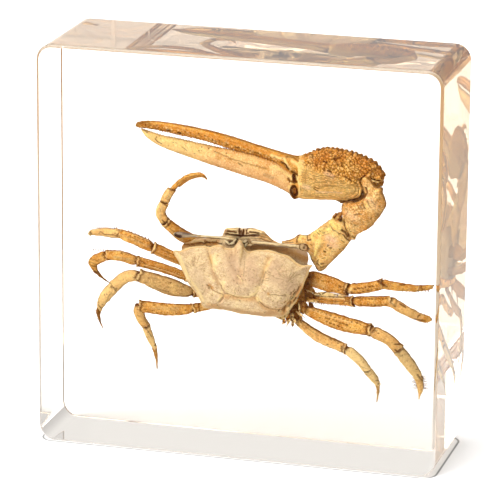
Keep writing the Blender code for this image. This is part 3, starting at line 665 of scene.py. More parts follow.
TRUNK_STROKES = (
    # painted purple-brown shade in the right eye's socket under its stalk, and the left one, cracked along its
    # floor
    ("deep", 0.9, 1.6, (1.0, 38.4), (4.0, 38.7), (8.0, 38.2), (11.4, 37.2)),
    ("dark", 0.62, 0.8, (1.4, 38.5), (4.4, 38.8), (7.6, 38.6)),
    ("dark", 0.5, 0.9, (5.0, 38.2), (9.2, 37.5), (11.5, 36.5)),
    ("grey", 0.8, 0.5, (10.0, 38.5), (11.6, 37.9)),
    ("dark", 0.45, 1.9, (5.0, 38.2), (8.0, 37.8), (11.2, 36.8)),
    ("deep", 1.0, 1.2, (-11.9, 37.6), (-9.0, 38.3), (-5.4, 38.6)),
    ("dark", 0.4, 0.9, (-11.6, 37.7), (-9.0, 38.3), (-6.0, 38.6)),
    ("relief", -0.35, 0.35, (-10.4, 38.0), (-9.0, 38.25), (-7.0, 38.5), (-5.6, 38.5)),
    ("dark", 0.8, 0.20, (-12.0, 38.1), (-11.3, 37.8), (-10.3, 38.0), (-9.6, 38.05)),
    ("dark", 0.85, 0.18, (-9.2, 38.2), (-8.2, 38.55)),
    ("dark", 0.85, 0.20, (-7.9, 38.3), (-7.2, 38.7), (-6.6, 38.5)),
    ("dark", 0.8, 0.18, (-6.3, 38.8), (-5.4, 38.75), (-4.4, 38.6)),
    ("pale", 0.7, 0.2, (-10.2, 38.4), (-9.2, 38.7), (-7.8, 38.8)),
    ("pale", 0.7, 0.2, (-7.0, 39.0), (-5.6, 39.1)),
    ("dark", 0.5, 0.2, (-11.9, 37.2), (-11.4, 37.6), (-10.8, 37.5)),
    ("pale", 0.5, 0.3, (-10.9, 38.6), (-9.6, 39.0)),
    # painted shade in the hollow round the feelers
    ("dark", 0.8, 0.8, (-3.2, 38.8), (-1.9, 39.2)), ("dark", 0.8, 0.8, (0.2, 39.0), (1.0, 39.0)),
    ("dark", 0.55, 0.5, (-2.2, 39.8), (0.6, 39.8)),
    # the mouth's two plates, with painted shade in the slots between them and along the ledge under them
    ("relief", 0.45, 1.0, (-3.2, 40.9), (-1.6, 41.1)), ("relief", 0.5, 1.1, (0.9, 41.1), (2.9, 40.9)),
    ("pale", 0.9, 0.22, (-3.4, 41.35), (-1.6, 41.3)),
    ("pale", 0.9, 0.2, (0.8, 41.6), (2.2, 41.45), (3.6, 41.0)),
    ("pale", 0.85, 0.2, (-2.9, 40.75), (-1.4, 40.75)), ("pale", 0.8, 0.2, (1.2, 41.0), (2.8, 40.95)),
    ("dark", 1.0, 0.26, (-3.3, 41.0), (-1.6, 40.98)), ("dark", 1.0, 0.26, (0.9, 41.25), (2.6, 41.15)),
    ("dark", 0.9, 0.22, (-3.9, 41.4), (-2.2, 41.75), (-0.6, 41.95), (1.6, 41.9), (3.6, 41.5)),
    ("dark", 0.95, 0.28, (-0.75, 41.3), (-0.6, 40.7)), ("dark", 0.95, 0.25, (0.15, 41.5), (0.25, 40.9)),
    ("deep", 0.8, 1.2, (3.4, 40.7), (5.2, 40.0)),
    ("dark", 0.6, 0.16, (3.2, 41.2), (4.8, 40.5), (5.8, 39.9)),
    ("pale", 0.6, 0.2, (3.4, 40.6), (4.8, 40.1)),
    ("relief", -0.5, 0.3, (-3.8, 40.45), (-2.2, 40.3), (-1.0, 40.35), (0.9, 40.5), (2.7, 40.75)),
    ("dark", 1.0, 0.30, (-3.8, 40.45), (-2.2, 40.3), (-1.0, 40.35), (0.9, 40.5), (2.7, 40.75)),
    ("dark", 1.0, 0.26, (-1.15, 41.55), (-1.0, 40.5)), ("dark", 1.0, 0.24, (-0.35, 41.6), (-0.35, 40.5)),
    ("dark", 0.9, 0.15, (0.35, 41.7), (0.3, 41.1), (0.7, 41.0)),
    ("dark", 0.6, 0.14, (-3.9, 41.0), (-3.2, 41.05), (-1.4, 41.3)),
    ("dark", 0.6, 0.13, (0.9, 41.4), (2.4, 41.2), (3.8, 40.9)),
    ("pale", 0.8, 0.22, (-3.4, 40.1), (-0.3, 40.0), (2.6, 40.25)),
    ("dark", 0.7, 0.15, (1.0, 40.1), (3.0, 40.15), (4.9, 39.75)),
    ("dark", 0.6, 0.14, (3.0, 40.6), (4.2, 40.4), (5.2, 39.9)),
    ("dark", 0.5, 0.13, (1.4, 39.8), (4.0, 39.7), (5.8, 39.45)),
    ("deep", 0.7, 0.9, (2.8, 40.4), (5.4, 39.8)), ("deep", 0.5, 0.6, (-4.0, 40.8), (-2.0, 41.3)),
)
shield, trunk = body_shells()
shield.draw(SHIELD_STROKES)
shield_veins(shield)
shield.roughen(1.6, 0.16)
shield.roughen(0.5, 0.06)
# a painted highlight on the hem, and painted shade just inside it and in under it
shield.marks["pale"][HEM_HIGHLIGHT_RINGS] = 0.5
shield.marks["deep"][INNER_HEM_SHADE_RINGS] = np.maximum(shield.marks["deep"][INNER_HEM_SHADE_RINGS], 0.5)
shield.marks["dark"][UNDER_HEM_SHADE_RINGS] = 0.8
trunk.draw(TRUNK_STROKES, stain=0.25)
specked(trunk, 34, 3, (-11.8, -4.6, 37.3, 39.0), 0.20)
trunk.roughen(0.9, 0.12)
trunk.roughen(0.35, 0.05)
# the shield's shell has dried to straw: a pale cream to the eye, pinkish where it is grey, and golden where
# painted shade lies in its grooves
dry_straw = dried_shell(
    "dried_shell_straw", "#E6CDA2", "#D7B992", glow=(0.45, "#F8E3AE"), crease=(0.42, "#AE7A48"),
    grain=(0.36, "#AC7E52"), fleck=(0.35, "#FCEFC6"), deep=(0.9, "#CC9048"), grey=(0.9, "#CFAE8C"),
    pale=(0.95, "#FAE4A6"), dark=(0.97, "#4C2812"),
)
crab_piece("shield_and_trunk", [shield, trunk], dry_straw, "shield_straw", "body")

# The eight walking legs: each is five tubes of dried shell, and each tube's narrow neck sits in the flared
# collar of the one before it, with dark dried skin in the joint. The long second tube, the thigh, is
# flattened and keeled.
DEPTH = np.array((0.0, 1.0, 0.0))
# the shapes of a tube's ends, in rows from the end inwards: the distance in half widths, the share of the
# width, then how dark and how pale it is
NECK = (
    (-0.45, 0.40, 1.0, 0.0), (-0.25, 0.58, 1.0, 0.0), (0.0, 0.68, 0.9, 0.0), (0.22, 0.76, 0.35, 0.0),
    (0.45, 0.88, 0.12, 0.0), (0.75, 0.97, 0.0, 0.0), (1.1, 1.0, 0.0, 0.0),
)
CLOSE_NECK = (
    (-0.45, 0.50, 1.0, 0.0), (-0.25, 0.72, 0.9, 0.0), (0.0, 0.86, 0.6, 0.0), (0.16, 0.93, 0.15, 0.0),
    (0.4, 0.98, 0.0, 0.0), (0.9, 1.0, 0.0, 0.0),
)
COLLAR = (
    (0.40, 0.35, 1.0, 0.0), (0.24, 0.70, 1.0, 0.0), (0.02, 0.86, 0.9, 0.0), (-0.05, 0.98, 0.4, 0.3),
    (0.0, 1.07, 0.0, 0.5), (0.14, 1.12, 0.0, 0.45), (0.28, 1.08, 0.2, 0.2), (0.42, 1.01, 0.8, 0.0),
    (0.56, 0.98, 0.5, 0.0), (0.75, 0.99, 0.1, 0.0), (1.2, 1.0, 0.0, 0.0),
)
SOCKET = (
    (0.4, 0.40, 1.0, 0.0), (0.2, 0.70, 1.0, 0.0), (-0.02, 0.86, 0.8, 0.0), (-0.04, 0.95, 0.3, 0.3),
    (0.0, 1.02, 0.0, 0.4), (0.15, 1.03, 0.0, 0.3), (0.5, 1.0, 0.0, 0.0),
)
POINT = (
    (-0.06, 0.05, 0.9, 0.0), (0.0, 0.3, 0.9, 0.0), (0.12, 0.62, 0.8, 0.0), (0.4, 0.9, 0.5, 0.0),
    (0.8, 1.0, 0.2, 0.0),
)
BLUNT = (
    (-0.5, 0.05, 0.1, 0.4), (-0.42, 0.35, 0.1, 0.4), (-0.25, 0.68, 0.0, 0.4), (0.0, 0.88, 0.0, 0.3),
    (0.4, 1.0, 0.0, 0.0),
)
# how much a tube's width wavers at its ends, and how round it is: 1 is round, and less is squarer
RAGGED_WIDTH = 0.35
SQUARENESS = 0.9


def tube(rows, start, end, spacing=0.16, sides=26):
    """A part of a limb through rows of x, depth, height, half width and flatness, with shaped ends."""
    line = flowing(rows, 0.05)
    way = np.concatenate(([0.0], np.cumsum(np.linalg.norm(np.diff(line[:, :3], axis=0), axis=1))))
    length = way[-1]
    first = [(gap * line[0, 3], share, dark, pale) for gap, share, dark, pale in start]
    last = [(length - gap * line[-1, 3], share, dark, pale) for gap, share, dark, pale in reversed(end)]
    inner = np.arange(first[-1][0] + spacing, last[0][0] - spacing / 2, spacing)
    stops = first + [(stop, 1.0, 0.0, 0.0) for stop in inner] + last
    turns = np.linspace(0.0, 2 * math.pi, sides, endpoint=False)
    sideways = np.sign(np.cos(turns)) * np.abs(np.cos(turns)) ** SQUARENESS
    forward = np.sign(np.sin(turns)) * np.abs(np.sin(turns)) ** SQUARENESS
    waves = [Vector((1.6 * math.cos(turn), 1.6 * math.sin(turn), line[0, 2])) for turn in turns]
    ragged = np.array([0.30 * noise.noise(wave) + 0.12 * noise.noise(4 * wave) for wave in waves])
    ragged += 0.16 * np.cos(turns - 3.0 * line[0, 0])
    rings = []
    for number, (stop, share, _, _) in enumerate(stops):
        middle = np.array([np.interp(stop, way, column) for column in line.T])
        here = min(max(stop, 0.0), length)
        ahead = np.array([np.interp(here + 0.2, way, column) for column in line.T[:3]])
        behind = np.array([np.interp(here - 0.2, way, column) for column in line.T[:3]])
        along = (ahead - behind) / np.linalg.norm(ahead - behind)
        across = np.cross(along, DEPTH)
        across /= np.linalg.norm(across)
        front = np.cross(across, along)
        place = middle[:3] + along * (min(stop, 0.0) + max(stop - length, 0.0))
        width = middle[3] * share
        at_end = number < len(first) or number >= len(stops) - len(last)
        uneven = 1 + RAGGED_WIDTH * ragged * at_end
        ring = place + np.outer(sideways * uneven, across) * width
        ring = ring + np.outer(forward * uneven, front) * width * middle[4]
        rings.append(ring + np.outer(ragged, along) if at_end else ring)
    shell = Shell(rings)
    shell.turns = turns
    shell.shares = np.array([stop[0] for stop in stops]) / length
    shell.mark("dark", np.array([[stop[2]] for stop in stops]))
    shell.mark("pale", np.array([[stop[3]] for stop in stops]))
    # both edges are darker: deeper amber where one looks along more horn, and painted shade as a dark outline
    beside = np.abs(np.cos(turns))
    shell.mark("deep", 0.85 * smooth((beside - 0.66) / 0.28))
    shell.mark("dark", 0.65 * smooth((beside - 0.84) / 0.16))
    return shell


def streak(shell, kind, strength, turn, width, start=0.0, end=1.0):
    """A stripe or keel along a tube, between the shares of its length where it starts and ends."""
    apart = np.abs((np.degrees(shell.turns) - turn + 180) % 360 - 180)
    lengthwise = smooth((shell.shares - start) / 0.08) * smooth((end - shell.shares) / 0.08)
    near = lengthwise[:, None] * smooth(1 - apart / width)[None, :]
    if kind == "relief":
        shell.raised(strength * near)
    else:
        shell.mark(kind, strength * near)


LEG_PLACES = ("hip", "base", "thigh", "knee", "shin", "wrist", "foot", "ankle", "nail", "tip")
LEG_FLATNESS = {"hip": 0.85, "base": 0.75, "thigh": 0.62, "knee": 0.74, "tip": 1.0}
OTHER_FLATNESS = 0.82
# each leg at those places, as x, depth, height and half width
LEGS = {
    "left_1": (
        (-8.6, 2.6, 32.8, 0.9), (-11.0, 1.8, 33.8, 0.98), (-14.5, 0.6, 35.2, 1.08),
        (-17.6, -0.4, 36.6, 1.09), (-20.8, -0.4, 37.8, 1.05), (-23.9, 0.2, 38.6, 0.93),
        (-27.4, 1.6, 38.4, 0.82), (-30.0, 3.4, 37.8, 0.55), (-30.8, 4.6, 37.3, 0.32),
        (-30.9, 6.0, 36.7, 0.1),
    ),
    "left_2": (
        (-8.4, 2.6, 30.0, 0.85), (-11.5, 1.8, 31.2, 0.88), (-15.5, 1.0, 32.5, 0.89),
        (-20.8, 0.5, 33.6, 0.98), (-23.9, 0.2, 34.4, 1.0), (-26.8, 0.2, 34.3, 0.93),
        (-29.3, 1.2, 32.7, 0.95), (-29.3, 2.2, 30.9, 0.47), (-28.2, 3.3, 29.4, 0.25),
        (-26.8, 4.3, 28.2, 0.08),
    ),
    "left_3": (
        (-7.6, 2.4, 28.3, 0.8), (-10.4, 1.3, 28.4, 0.95), (-14.5, 0.0, 29.4, 1.66),
        (-20.4, -0.9, 31.3, 1.18), (-22.8, -0.7, 30.6, 1.1), (-25.1, 0.0, 28.6, 1.12),
        (-27.2, 1.2, 26.0, 1.05), (-28.6, 2.6, 23.5, 0.56), (-28.9, 3.8, 21.5, 0.3),
        (-28.4, 5.0, 19.2, 0.08),
    ),
    "left_4": (
        (-5.4, 3.0, 26.5, 0.7), (-10.3, 1.2, 25.3, 0.90), (-14.4, 0.0, 25.0, 1.18),
        (-20.4, -0.3, 25.2, 1.12), (-20.2, 0.2, 23.2, 0.95), (-19.2, 1.0, 21.2, 0.82),
        (-18.6, 2.0, 18.9, 0.72), (-18.0, 3.0, 16.9, 0.47), (-17.8, 4.0, 14.8, 0.31),
        (-17.8, 5.0, 12.4, 0.1),
    ),
    "right_1": (
        (8.2, 2.6, 33.0, 1.1), (11.2, 1.6, 33.2, 1.4), (14.8, 0.5, 32.6, 1.55), (19.2, -0.3, 31.9, 1.1),
        (22.5, -0.3, 32.5, 1.0), (25.4, 0.2, 33.3, 0.95), (28.9, 1.2, 32.9, 0.78), (31.7, 2.6, 32.6, 0.6),
        (33.2, 4.2, 32.6, 0.5), (34.1, 5.3, 32.7, 0.3),
    ),
    "right_2": (
        (8.0, 2.8, 29.5, 0.75), (11.2, 1.8, 29.2, 0.76), (15.7, 1.1, 29.3, 0.78), (20.1, 0.5, 29.6, 0.95),
        (23.6, 0.2, 29.9, 1.0), (26.9, 0.5, 30.2, 1.0), (29.6, 1.2, 28.6, 0.95), (32.2, 2.6, 27.2, 0.8),
        (33.2, 3.4, 26.9, 0.72), (34.0, 4.1, 26.8, 0.4),
    ),
    "right_3": (
        (8.1, 2.3, 28.0, 0.75), (11.0, 1.4, 27.0, 0.95), (17.3, 0.5, 25.4, 1.5), (23.5, 0.0, 24.5, 1.15),
        (26.7, 0.4, 23.0, 1.08), (28.4, 1.3, 21.2, 1.1), (29.9, 4.3, 18.2, 1.12), (31.4, 7.0, 15.2, 0.85),
        (31.7, 8.5, 12.8, 0.6), (31.3, 9.7, 10.3, 0.1),
    ),
    "right_4": (
        (6.0, 3.2, 26.6, 0.7), (9.4, 2.2, 24.6, 0.74), (13.5, 1.2, 22.2, 1.06), (18.9, 0.2, 20.5, 0.92),
        (21.2, 0.9, 18.6, 0.93), (22.6, 1.9, 16.6, 0.87), (23.6, 3.4, 14.9, 0.8), (24.3, 4.8, 13.4, 0.46),
        (24.1, 6.4, 11.5, 0.28), (23.7, 8.0, 9.4, 0.08),
    ),
}
# how each tube is coloured all over
LEG_TINTS = {
    ("left_1", "thigh"): ("deep", 0.55), ("left_1", "foot"): ("pale", 0.4),
    ("left_2", "thigh"): ("deep", 0.5), ("left_3", "thigh"): ("grey", 0.75),
    ("left_3", "shin"): ("pale", 0.5), ("left_3", "foot"): ("pale", 0.6), ("left_4", "shin"): ("pale", 0.3),
    ("left_4", "foot"): ("pale", 0.7), ("right_1", "thigh"): ("deep", 0.45),
    ("right_2", "foot"): ("pale", 0.3), ("right_3", "foot"): ("pale", 0.8),
    ("right_3", "shin"): ("pale", 0.3), ("right_4", "thigh"): ("pale", 0.25),
    ("right_4", "shin"): ("pale", 0.85), ("right_4", "foot"): ("pale", 0.95),
    ("right_3", "nail"): ("pale", 0.5), ("left_3", "nail"): ("dark", 0.7),
    ("left_2", "nail"): ("dark", 0.7), ("left_1", "nail"): ("pale", 0.7), ("left_4", "nail"): ("dark", 0.4),
    ("right_4", "nail"): ("grey", 0.7),
}
# streaks along a tube: a mark, its strength, its turn, its width in degrees, and the shares where it starts
# and ends; turns run from one edge at 0 over the back at 90 and the other edge at 180 to the front at 270
LEG_STREAKS = {
    ("left_1", "thigh"): (
        ("dark", 0.5, 288, 9, 0.0, 0.95), ("deep", 0.9, 262, 22, 0.0, 1.0),
        ("pale", 0.5, 318, 14, 0.0, 1.0), ("relief", 0.08, 305, 16, 0.0, 1.0),
    ),
    ("left_2", "thigh"): (
        ("dark", 0.4, 232, 7, 0.0, 1.0), ("deep", 0.9, 250, 10, 0.0, 1.0), ("dark", 0.55, 268, 6, 0.1, 1.0),
        ("pale", 0.5, 284, 8, 0.0, 0.9), ("dark", 0.5, 300, 6, 0.0, 0.9), ("deep", 0.9, 316, 10, 0.0, 1.0),
    ),
    ("left_3", "thigh"): (
        ("dark", 0.5, 196, 12, 0.1, 1.0), ("deep", 0.8, 345, 20, 0.0, 1.0),
        ("dark", 0.35, 322, 8, 0.0, 0.6),
    ),
    ("left_4", "thigh"): (
        ("dark", 0.45, 200, 12, 0.0, 1.0), ("grey", 0.5, 250, 25, 0.2, 0.7),
        ("deep", 0.6, 340, 22, 0.0, 1.0),
    ),
    ("left_1", "shin"): (("pale", 0.5, 205, 14, 0.0, 1.0), ("grey", 0.45, 268, 22, 0.0, 1.0)),
    ("left_2", "shin"): (("pale", 0.3, 210, 20, 0.3, 1.0), ("grey", 0.4, 275, 20, 0.0, 0.5)),
    ("right_1", "thigh"): (
        ("dark", 0.6, 300, 40, 0.0, 0.25), ("dark", 0.4, 345, 12, 0.2, 1.0),
        ("grey", 0.4, 250, 25, 0.0, 0.6),
    ),
    ("right_2", "thigh"): (
        ("dark", 0.7, 318, 10, 0.0, 0.9), ("deep", 0.9, 290, 14, 0.0, 1.0),
        ("dark", 0.5, 205, 22, 0.0, 0.8), ("pale", 0.5, 340, 12, 0.0, 0.8),
    ),
    ("right_2", "shin"): (("dark", 0.4, 310, 8, 0.1, 0.9), ("dark", 0.4, 228, 8, 0.1, 0.9)),
    ("right_3", "thigh"): (
        ("deep", 0.7, 225, 20, 0.2, 1.0), ("dark", 0.5, 340, 12, 0.0, 1.0),
        ("pale", 0.4, 300, 16, 0.0, 0.8),
    ),
    ("right_3", "nail"): (("dark", 0.8, 190, 22, 0.0, 1.0), ("deep", 0.5, 300, 30, 0.0, 1.0)),
    ("right_4", "thigh"): (
        ("dark", 0.85, 335, 30, 0.0, 0.95), ("pale", 0.6, 235, 26, 0.0, 1.0),
        ("dark", 0.4, 285, 10, 0.0, 0.5),
    ),
}
# marks on each leg, as x and height
LEG_STROKES = {
    "left_1": (
        ("dark", 0.8, 0.13, (-28.4, 38.1), (-28.0, 38.5), (-27.0, 38.1), (-25.2, 38.4), (-24.4, 38.1)),
        ("dark", 0.85, 0.15, (-24.6, 38.2), (-24.1, 39.0), (-22.9, 39.5)),
        ("pale", 0.8, 0.4, (-29.8, 38.3), (-28.6, 38.7)), ("dark", 0.8, 0.18, (-28.7, 39.2)),
        ("dark", 0.8, 0.17, (-27.6, 39.3)), ("dark", 0.8, 0.17, (-26.0, 39.4)),
        ("dark", 0.85, 0.16, (-18.1, 38.0), (-17.8, 37.2), (-17.7, 36.1)),
        ("pale", 0.8, 0.25, (-17.2, 37.4), (-17.1, 36.4)),
        ("dark", 0.5, 0.13, (-22.0, 38.5), (-20.6, 38.1), (-19.4, 37.5)),
        ("dark", 0.6, 0.13, (-16.0, 36.4), (-13.8, 35.5), (-12.0, 34.9)),
    ),
    "left_2": (
        ("dark", 0.9, 0.17, (-27.3, 34.6), (-26.8, 34.0), (-25.8, 33.5)),
        ("dark", 0.85, 0.15, (-19.9, 33.8), (-19.1, 33.3)),
        ("dark", 0.85, 0.16, (-20.4, 34.7), (-21.1, 33.9), (-20.9, 32.8)),
        ("dark", 0.7, 0.14, (-28.7, 31.2), (-27.8, 30.4), (-25.8, 29.1)),
        ("dark", 0.5, 0.12, (-30.0, 33.4), (-28.2, 33.0)),
        ("dark", 0.5, 0.12, (-30.1, 32.7), (-28.4, 32.3)),
        ("dark", 0.6, 0.13, (-30.0, 32.0), (-28.6, 31.7)), ("dark", 0.6, 0.2, (-28.3, 34.9)),
        ("grey", 0.6, 0.4, (-24.9, 34.3), (-22.4, 34.0)),
    ),
    "left_3": (
        ("dark", 0.85, 0.17, (-27.0, 26.7)), ("dark", 0.85, 0.17, (-26.5, 26.9)),
        ("dark", 0.8, 0.17, (-28.4, 24.9)), ("dark", 0.8, 0.17, (-27.7, 24.6)),
        ("dark", 0.85, 0.17, (-21.8, 31.3)), ("dark", 0.85, 0.17, (-21.0, 30.8)),
        ("dark", 0.55, 0.13, (-17.2, 29.4), (-14.1, 28.1), (-11.9, 27.5)),
        ("dark", 0.8, 0.17, (-19.1, 32.0)), ("dark", 0.8, 0.2, (-18.2, 31.0)),
        ("dark", 0.8, 0.17, (-16.0, 30.3)), ("dark", 0.7, 0.15, (-14.6, 29.4)),
        ("dark", 0.7, 0.15, (-13.1, 28.8)), ("dark", 0.9, 0.2, (-20.4, 32.0), (-20.7, 30.8), (-20.3, 30.1)),
        ("dark", 0.8, 0.15, (-11.3, 27.9), (-10.0, 27.3), (-9.8, 28.3)),
        ("dark", 0.85, 0.15, (-26.0, 28.6), (-24.4, 28.2)),
        ("dark", 0.8, 0.15, (-28.6, 24.4), (-28.0, 23.7), (-27.6, 23.8)),
        ("grey", 0.5, 0.5, (-18.6, 30.8), (-15.0, 29.8), (-12.4, 28.9)),
        ("dark", 0.45, 0.12, (-25.6, 27.4), (-26.9, 25.2)),
    ),
    "left_4": (
        ("dark", 0.85, 0.16, (-20.1, 26.7), (-19.1, 26.5)),
        ("dark", 0.85, 0.17, (-20.4, 26.0), (-19.9, 25.0)), ("dark", 0.75, 0.16, (-17.4, 26.1)),
        ("dark", 0.75, 0.16, (-15.8, 26.0)), ("dark", 0.75, 0.16, (-14.8, 25.8)),
        ("dark", 0.85, 0.2, (-9.2, 26.4), (-9.0, 25.0)), ("pale", 0.9, 0.7, (-8.0, 26.0)),
        ("dark", 0.9, 0.24, (-8.0, 26.6)), ("dark", 0.8, 0.14, (-17.9, 17.3), (-17.1, 18.0)),
        ("grey", 0.5, 0.4, (-17.6, 25.2), (-13.0, 25.1)), ("dark", 0.5, 0.12, (-19.4, 23.2), (-18.7, 21.4)),
        ("dark", 0.6, 0.13, (-18.9, 20.6), (-18.2, 19.2)),
    ),
    "right_1": (
        ("dark", 0.6, 3.2, (10.8, 33.4)),
        ("dark", 0.9, 0.26, (19.6, 32.8), (18.9, 32.0), (18.7, 31.1), (19.8, 30.8)),
        ("dark", 0.9, 0.34, (24.6, 34.1), (25.3, 33.7), (26.1, 33.1)),
        ("dark", 0.8, 0.3, (19.9, 31.6), (20.3, 31.1)), ("dark", 0.8, 0.16, (28.6, 33.5), (29.5, 33.4)),
        ("dark", 0.85, 0.16, (32.1, 33.4), (32.3, 32.6)), ("grey", 0.9, 0.6, (34.3, 32.9), (34.8, 32.2)),
        ("pale", 0.7, 0.3, (20.0, 32.4), (19.4, 31.4)),
    ),
    "right_2": (
        ("pale", 0.95, 0.34, (12.9, 29.95), (15.5, 29.85), (18.4, 30.0)),
        ("dark", 0.9, 0.24, (20.9, 30.7), (20.0, 30.1), (20.0, 29.0), (20.7, 28.6)),
        ("dark", 0.7, 0.13, (12.0, 29.4), (15.8, 29.2), (19.4, 29.6)),
        ("dark", 0.8, 0.22, (11.4, 29.7), (13.6, 29.8)), ("deep", 0.9, 0.3, (13.6, 28.9), (19.0, 29.0)),
        ("dark", 0.6, 0.13, (18.0, 29.0), (19.4, 30.0)), ("pale", 0.85, 0.4, (26.9, 30.7), (27.5, 29.9)),
        ("dark", 0.8, 0.2, (28.7, 29.9), (29.8, 29.3)), ("dark", 0.85, 0.16, (32.6, 28.3), (31.9, 27.4)),
        ("dark", 0.7, 0.22, (31.4, 27.0), (33.0, 26.7)), ("dark", 0.8, 0.16, (27.1, 30.2), (27.9, 29.4)),
    ),
    "right_3": (
        ("dark", 0.9, 0.17, (22.8, 24.2), (22.9, 25.3), (23.8, 25.6), (24.5, 25.2), (23.7, 24.1)),
        ("dark", 0.9, 0.2, (28.0, 22.3), (28.8, 22.2)),
        ("dark", 0.9, 0.17, (28.0, 21.2), (28.7, 20.7), (29.6, 21.4)),
        ("deep", 0.8, 0.15, (30.5, 18.0), (32.0, 17.6)), ("dark", 0.6, 0.16, (31.4, 16.8), (32.2, 16.6)),
        ("dark", 0.7, 0.2, (33.0, 17.5), (33.1, 16.6)), ("dark", 0.8, 0.2, (31.5, 15.7), (32.2, 14.2)),
        ("pale", 0.7, 0.3, (24.2, 24.9), (25.2, 24.5)), ("pale", 0.6, 0.3, (28.4, 21.6), (29.3, 21.8)),
    ),
    "right_4": (
        ("dark", 0.9, 0.16, (18.2, 21.0), (18.2, 19.9)), ("dark", 0.9, 0.16, (18.9, 20.9), (18.7, 19.8)),
        ("dark", 0.85, 0.16, (19.6, 21.2), (19.1, 20.4)), ("pale", 0.95, 0.3, (18.55, 21.0), (18.4, 19.9)),
        ("pale", 0.9, 0.25, (19.3, 21.0), (18.95, 20.0)),
        ("deep", 0.9, 0.2, (21.5, 17.5), (22.6, 16.9), (23.4, 16.8)),
        ("dark", 0.45, 0.12, (21.5, 17.5), (22.6, 16.9)), ("dark", 0.8, 0.15, (24.2, 14.3), (25.0, 14.4)),
        ("deep", 0.6, 0.14, (20.4, 19.6), (21.8, 18.0)),
    ),
}
# the tubes with the most specks; others have a few, and pale ones fewer
SPECKS = {
    ("left_3", "thigh"): 80, ("left_4", "thigh"): 50, ("right_1", "thigh"): 40, ("right_3", "thigh"): 40,
}
FEW_SPECKS = 24
PALE_SPECKS = 10
RIGHT_HIP_STAIN = 0.78
# rows of pores: the leg, where the row starts and ends, how many, and the size of each
PORE_ROWS = (
    ("right_1", (20.5, 32.3), (24.4, 33.3), 7, 0.22), ("right_1", (20.5, 31.4), (24.4, 32.6), 6, 0.20),
    ("right_2", (21.1, 30.4), (26.2, 30.8), 9, 0.17), ("right_2", (20.9, 29.1), (26.1, 29.6), 9, 0.17),
    ("right_3", (15.1, 26.2), (19.0, 25.2), 7, 0.20), ("right_3", (15.1, 25.4), (18.1, 24.7), 5, 0.20),
    ("right_1", (13.6, 33.4), (18.2, 32.4), 8, 0.14), ("right_3", (12.6, 27.3), (21.6, 25.6), 12, 0.12),
    ("left_1", (-22.8, 38.9), (-18.6, 37.9), 6, 0.13), ("right_4", (11.4, 24.1), (17.4, 21.6), 9, 0.14),
    ("right_2", (12.4, 29.9), (19.2, 30.2), 10, 0.12), ("left_4", (-18.6, 24.4), (-11.4, 24.3), 9, 0.12),
)


def leg_tubes(name):
    """A leg's tubes from the body outwards: base, thigh, shin, foot and nail."""
    hip, base, thigh, knee, shin, wrist, foot, ankle, nail, tip = (
        (*row, LEG_FLATNESS.get(place, OTHER_FLATNESS)) for place, row in zip(LEG_PLACES, LEGS[name])
    )
    return {
        "base": tube((hip, base), NECK, COLLAR if name.startswith("left") else SOCKET),
        "thigh": tube((base, thigh, knee), NECK, COLLAR, spacing=0.14, sides=56),
        "shin": tube((knee, shin, wrist), NECK, SOCKET, spacing=0.14, sides=56),
        "foot": tube((wrist, foot, ankle), CLOSE_NECK, SOCKET, spacing=0.14, sides=48),
        "nail": tube((ankle, nail, tip), CLOSE_NECK, POINT, spacing=0.12, sides=20),
    }


def pore_rows(name):
    """Short dashes, each a little off its row, for the rows of pores on one leg."""
    chance = random.Random(name)
    dashes = []
    for leg, start, end, number, size in PORE_ROWS:
        if leg != name:
            continue
        for share in np.linspace(0.0, 1.0, number):
            x, z = np.add(np.multiply(start, 1 - share), np.multiply(end, share))
            z += chance.uniform(-0.12, 0.12)
            strength = chance.uniform(0.5, 0.9)
            dashes.append(("dark", strength, size, (x, z), (x + chance.uniform(0.1, 0.35), z - 0.05)))
    return dashes


# the legs' thick shell has dried to amber: orange brown to the eye, grainy all over, and darkest at its
# joints
dry_amber = dried_shell(
    "dried_shell_amber", "#E6AE57", "#D4923F", glow=(0.50, "#F5CB78"), crease=(0.48, "#8E5222"),
    deep=(0.9, "#B76C1E"), grey=(0.9, "#C2A672"), pale=(0.95, "#FBE0A0"), grain=(0.52, "#9E5C22"),
    fleck=(0.40, "#FBDC94"), dark=(0.97, "#5C2A10"),
)
for name in LEGS:
    tubes = leg_tubes(name)
    dashes = pore_rows(name)
    for part, shell in tubes.items():
        shell.roughen(0.9, 0.10)
        shell.roughen(0.35, 0.04)
        tint, strength = LEG_TINTS.get((name, part), ("pale", 0.0))
        shell.mark(tint, strength)
        for row in LEG_STREAKS.get((name, part), ()):
            streak(shell, *row)
        if part == "base" and name.startswith("right"):
            shell.mark("dark", RIGHT_HIP_STAIN)
        shell.draw(LEG_STROKES[name])
        shell.draw(dashes)
        if part in ("thigh", "shin", "foot"):
            (left, bottom), (right, top) = shell.places.min(axis=(0, 1)), shell.places.max(axis=(0, 1))
            shell.blotch("deep", 0.2 if tint == "pale" and strength > 0.4 else 0.45, 1.2)
            number = SPECKS.get((name, part), PALE_SPECKS if tint == "pale" else FEW_SPECKS)
            specked(shell, number, name + part, (left, right, bottom, top), 0.12)
    crab_piece("walking_leg_" + name, list(tubes.values()), dry_amber, "leg_amber", "leg_" + name)

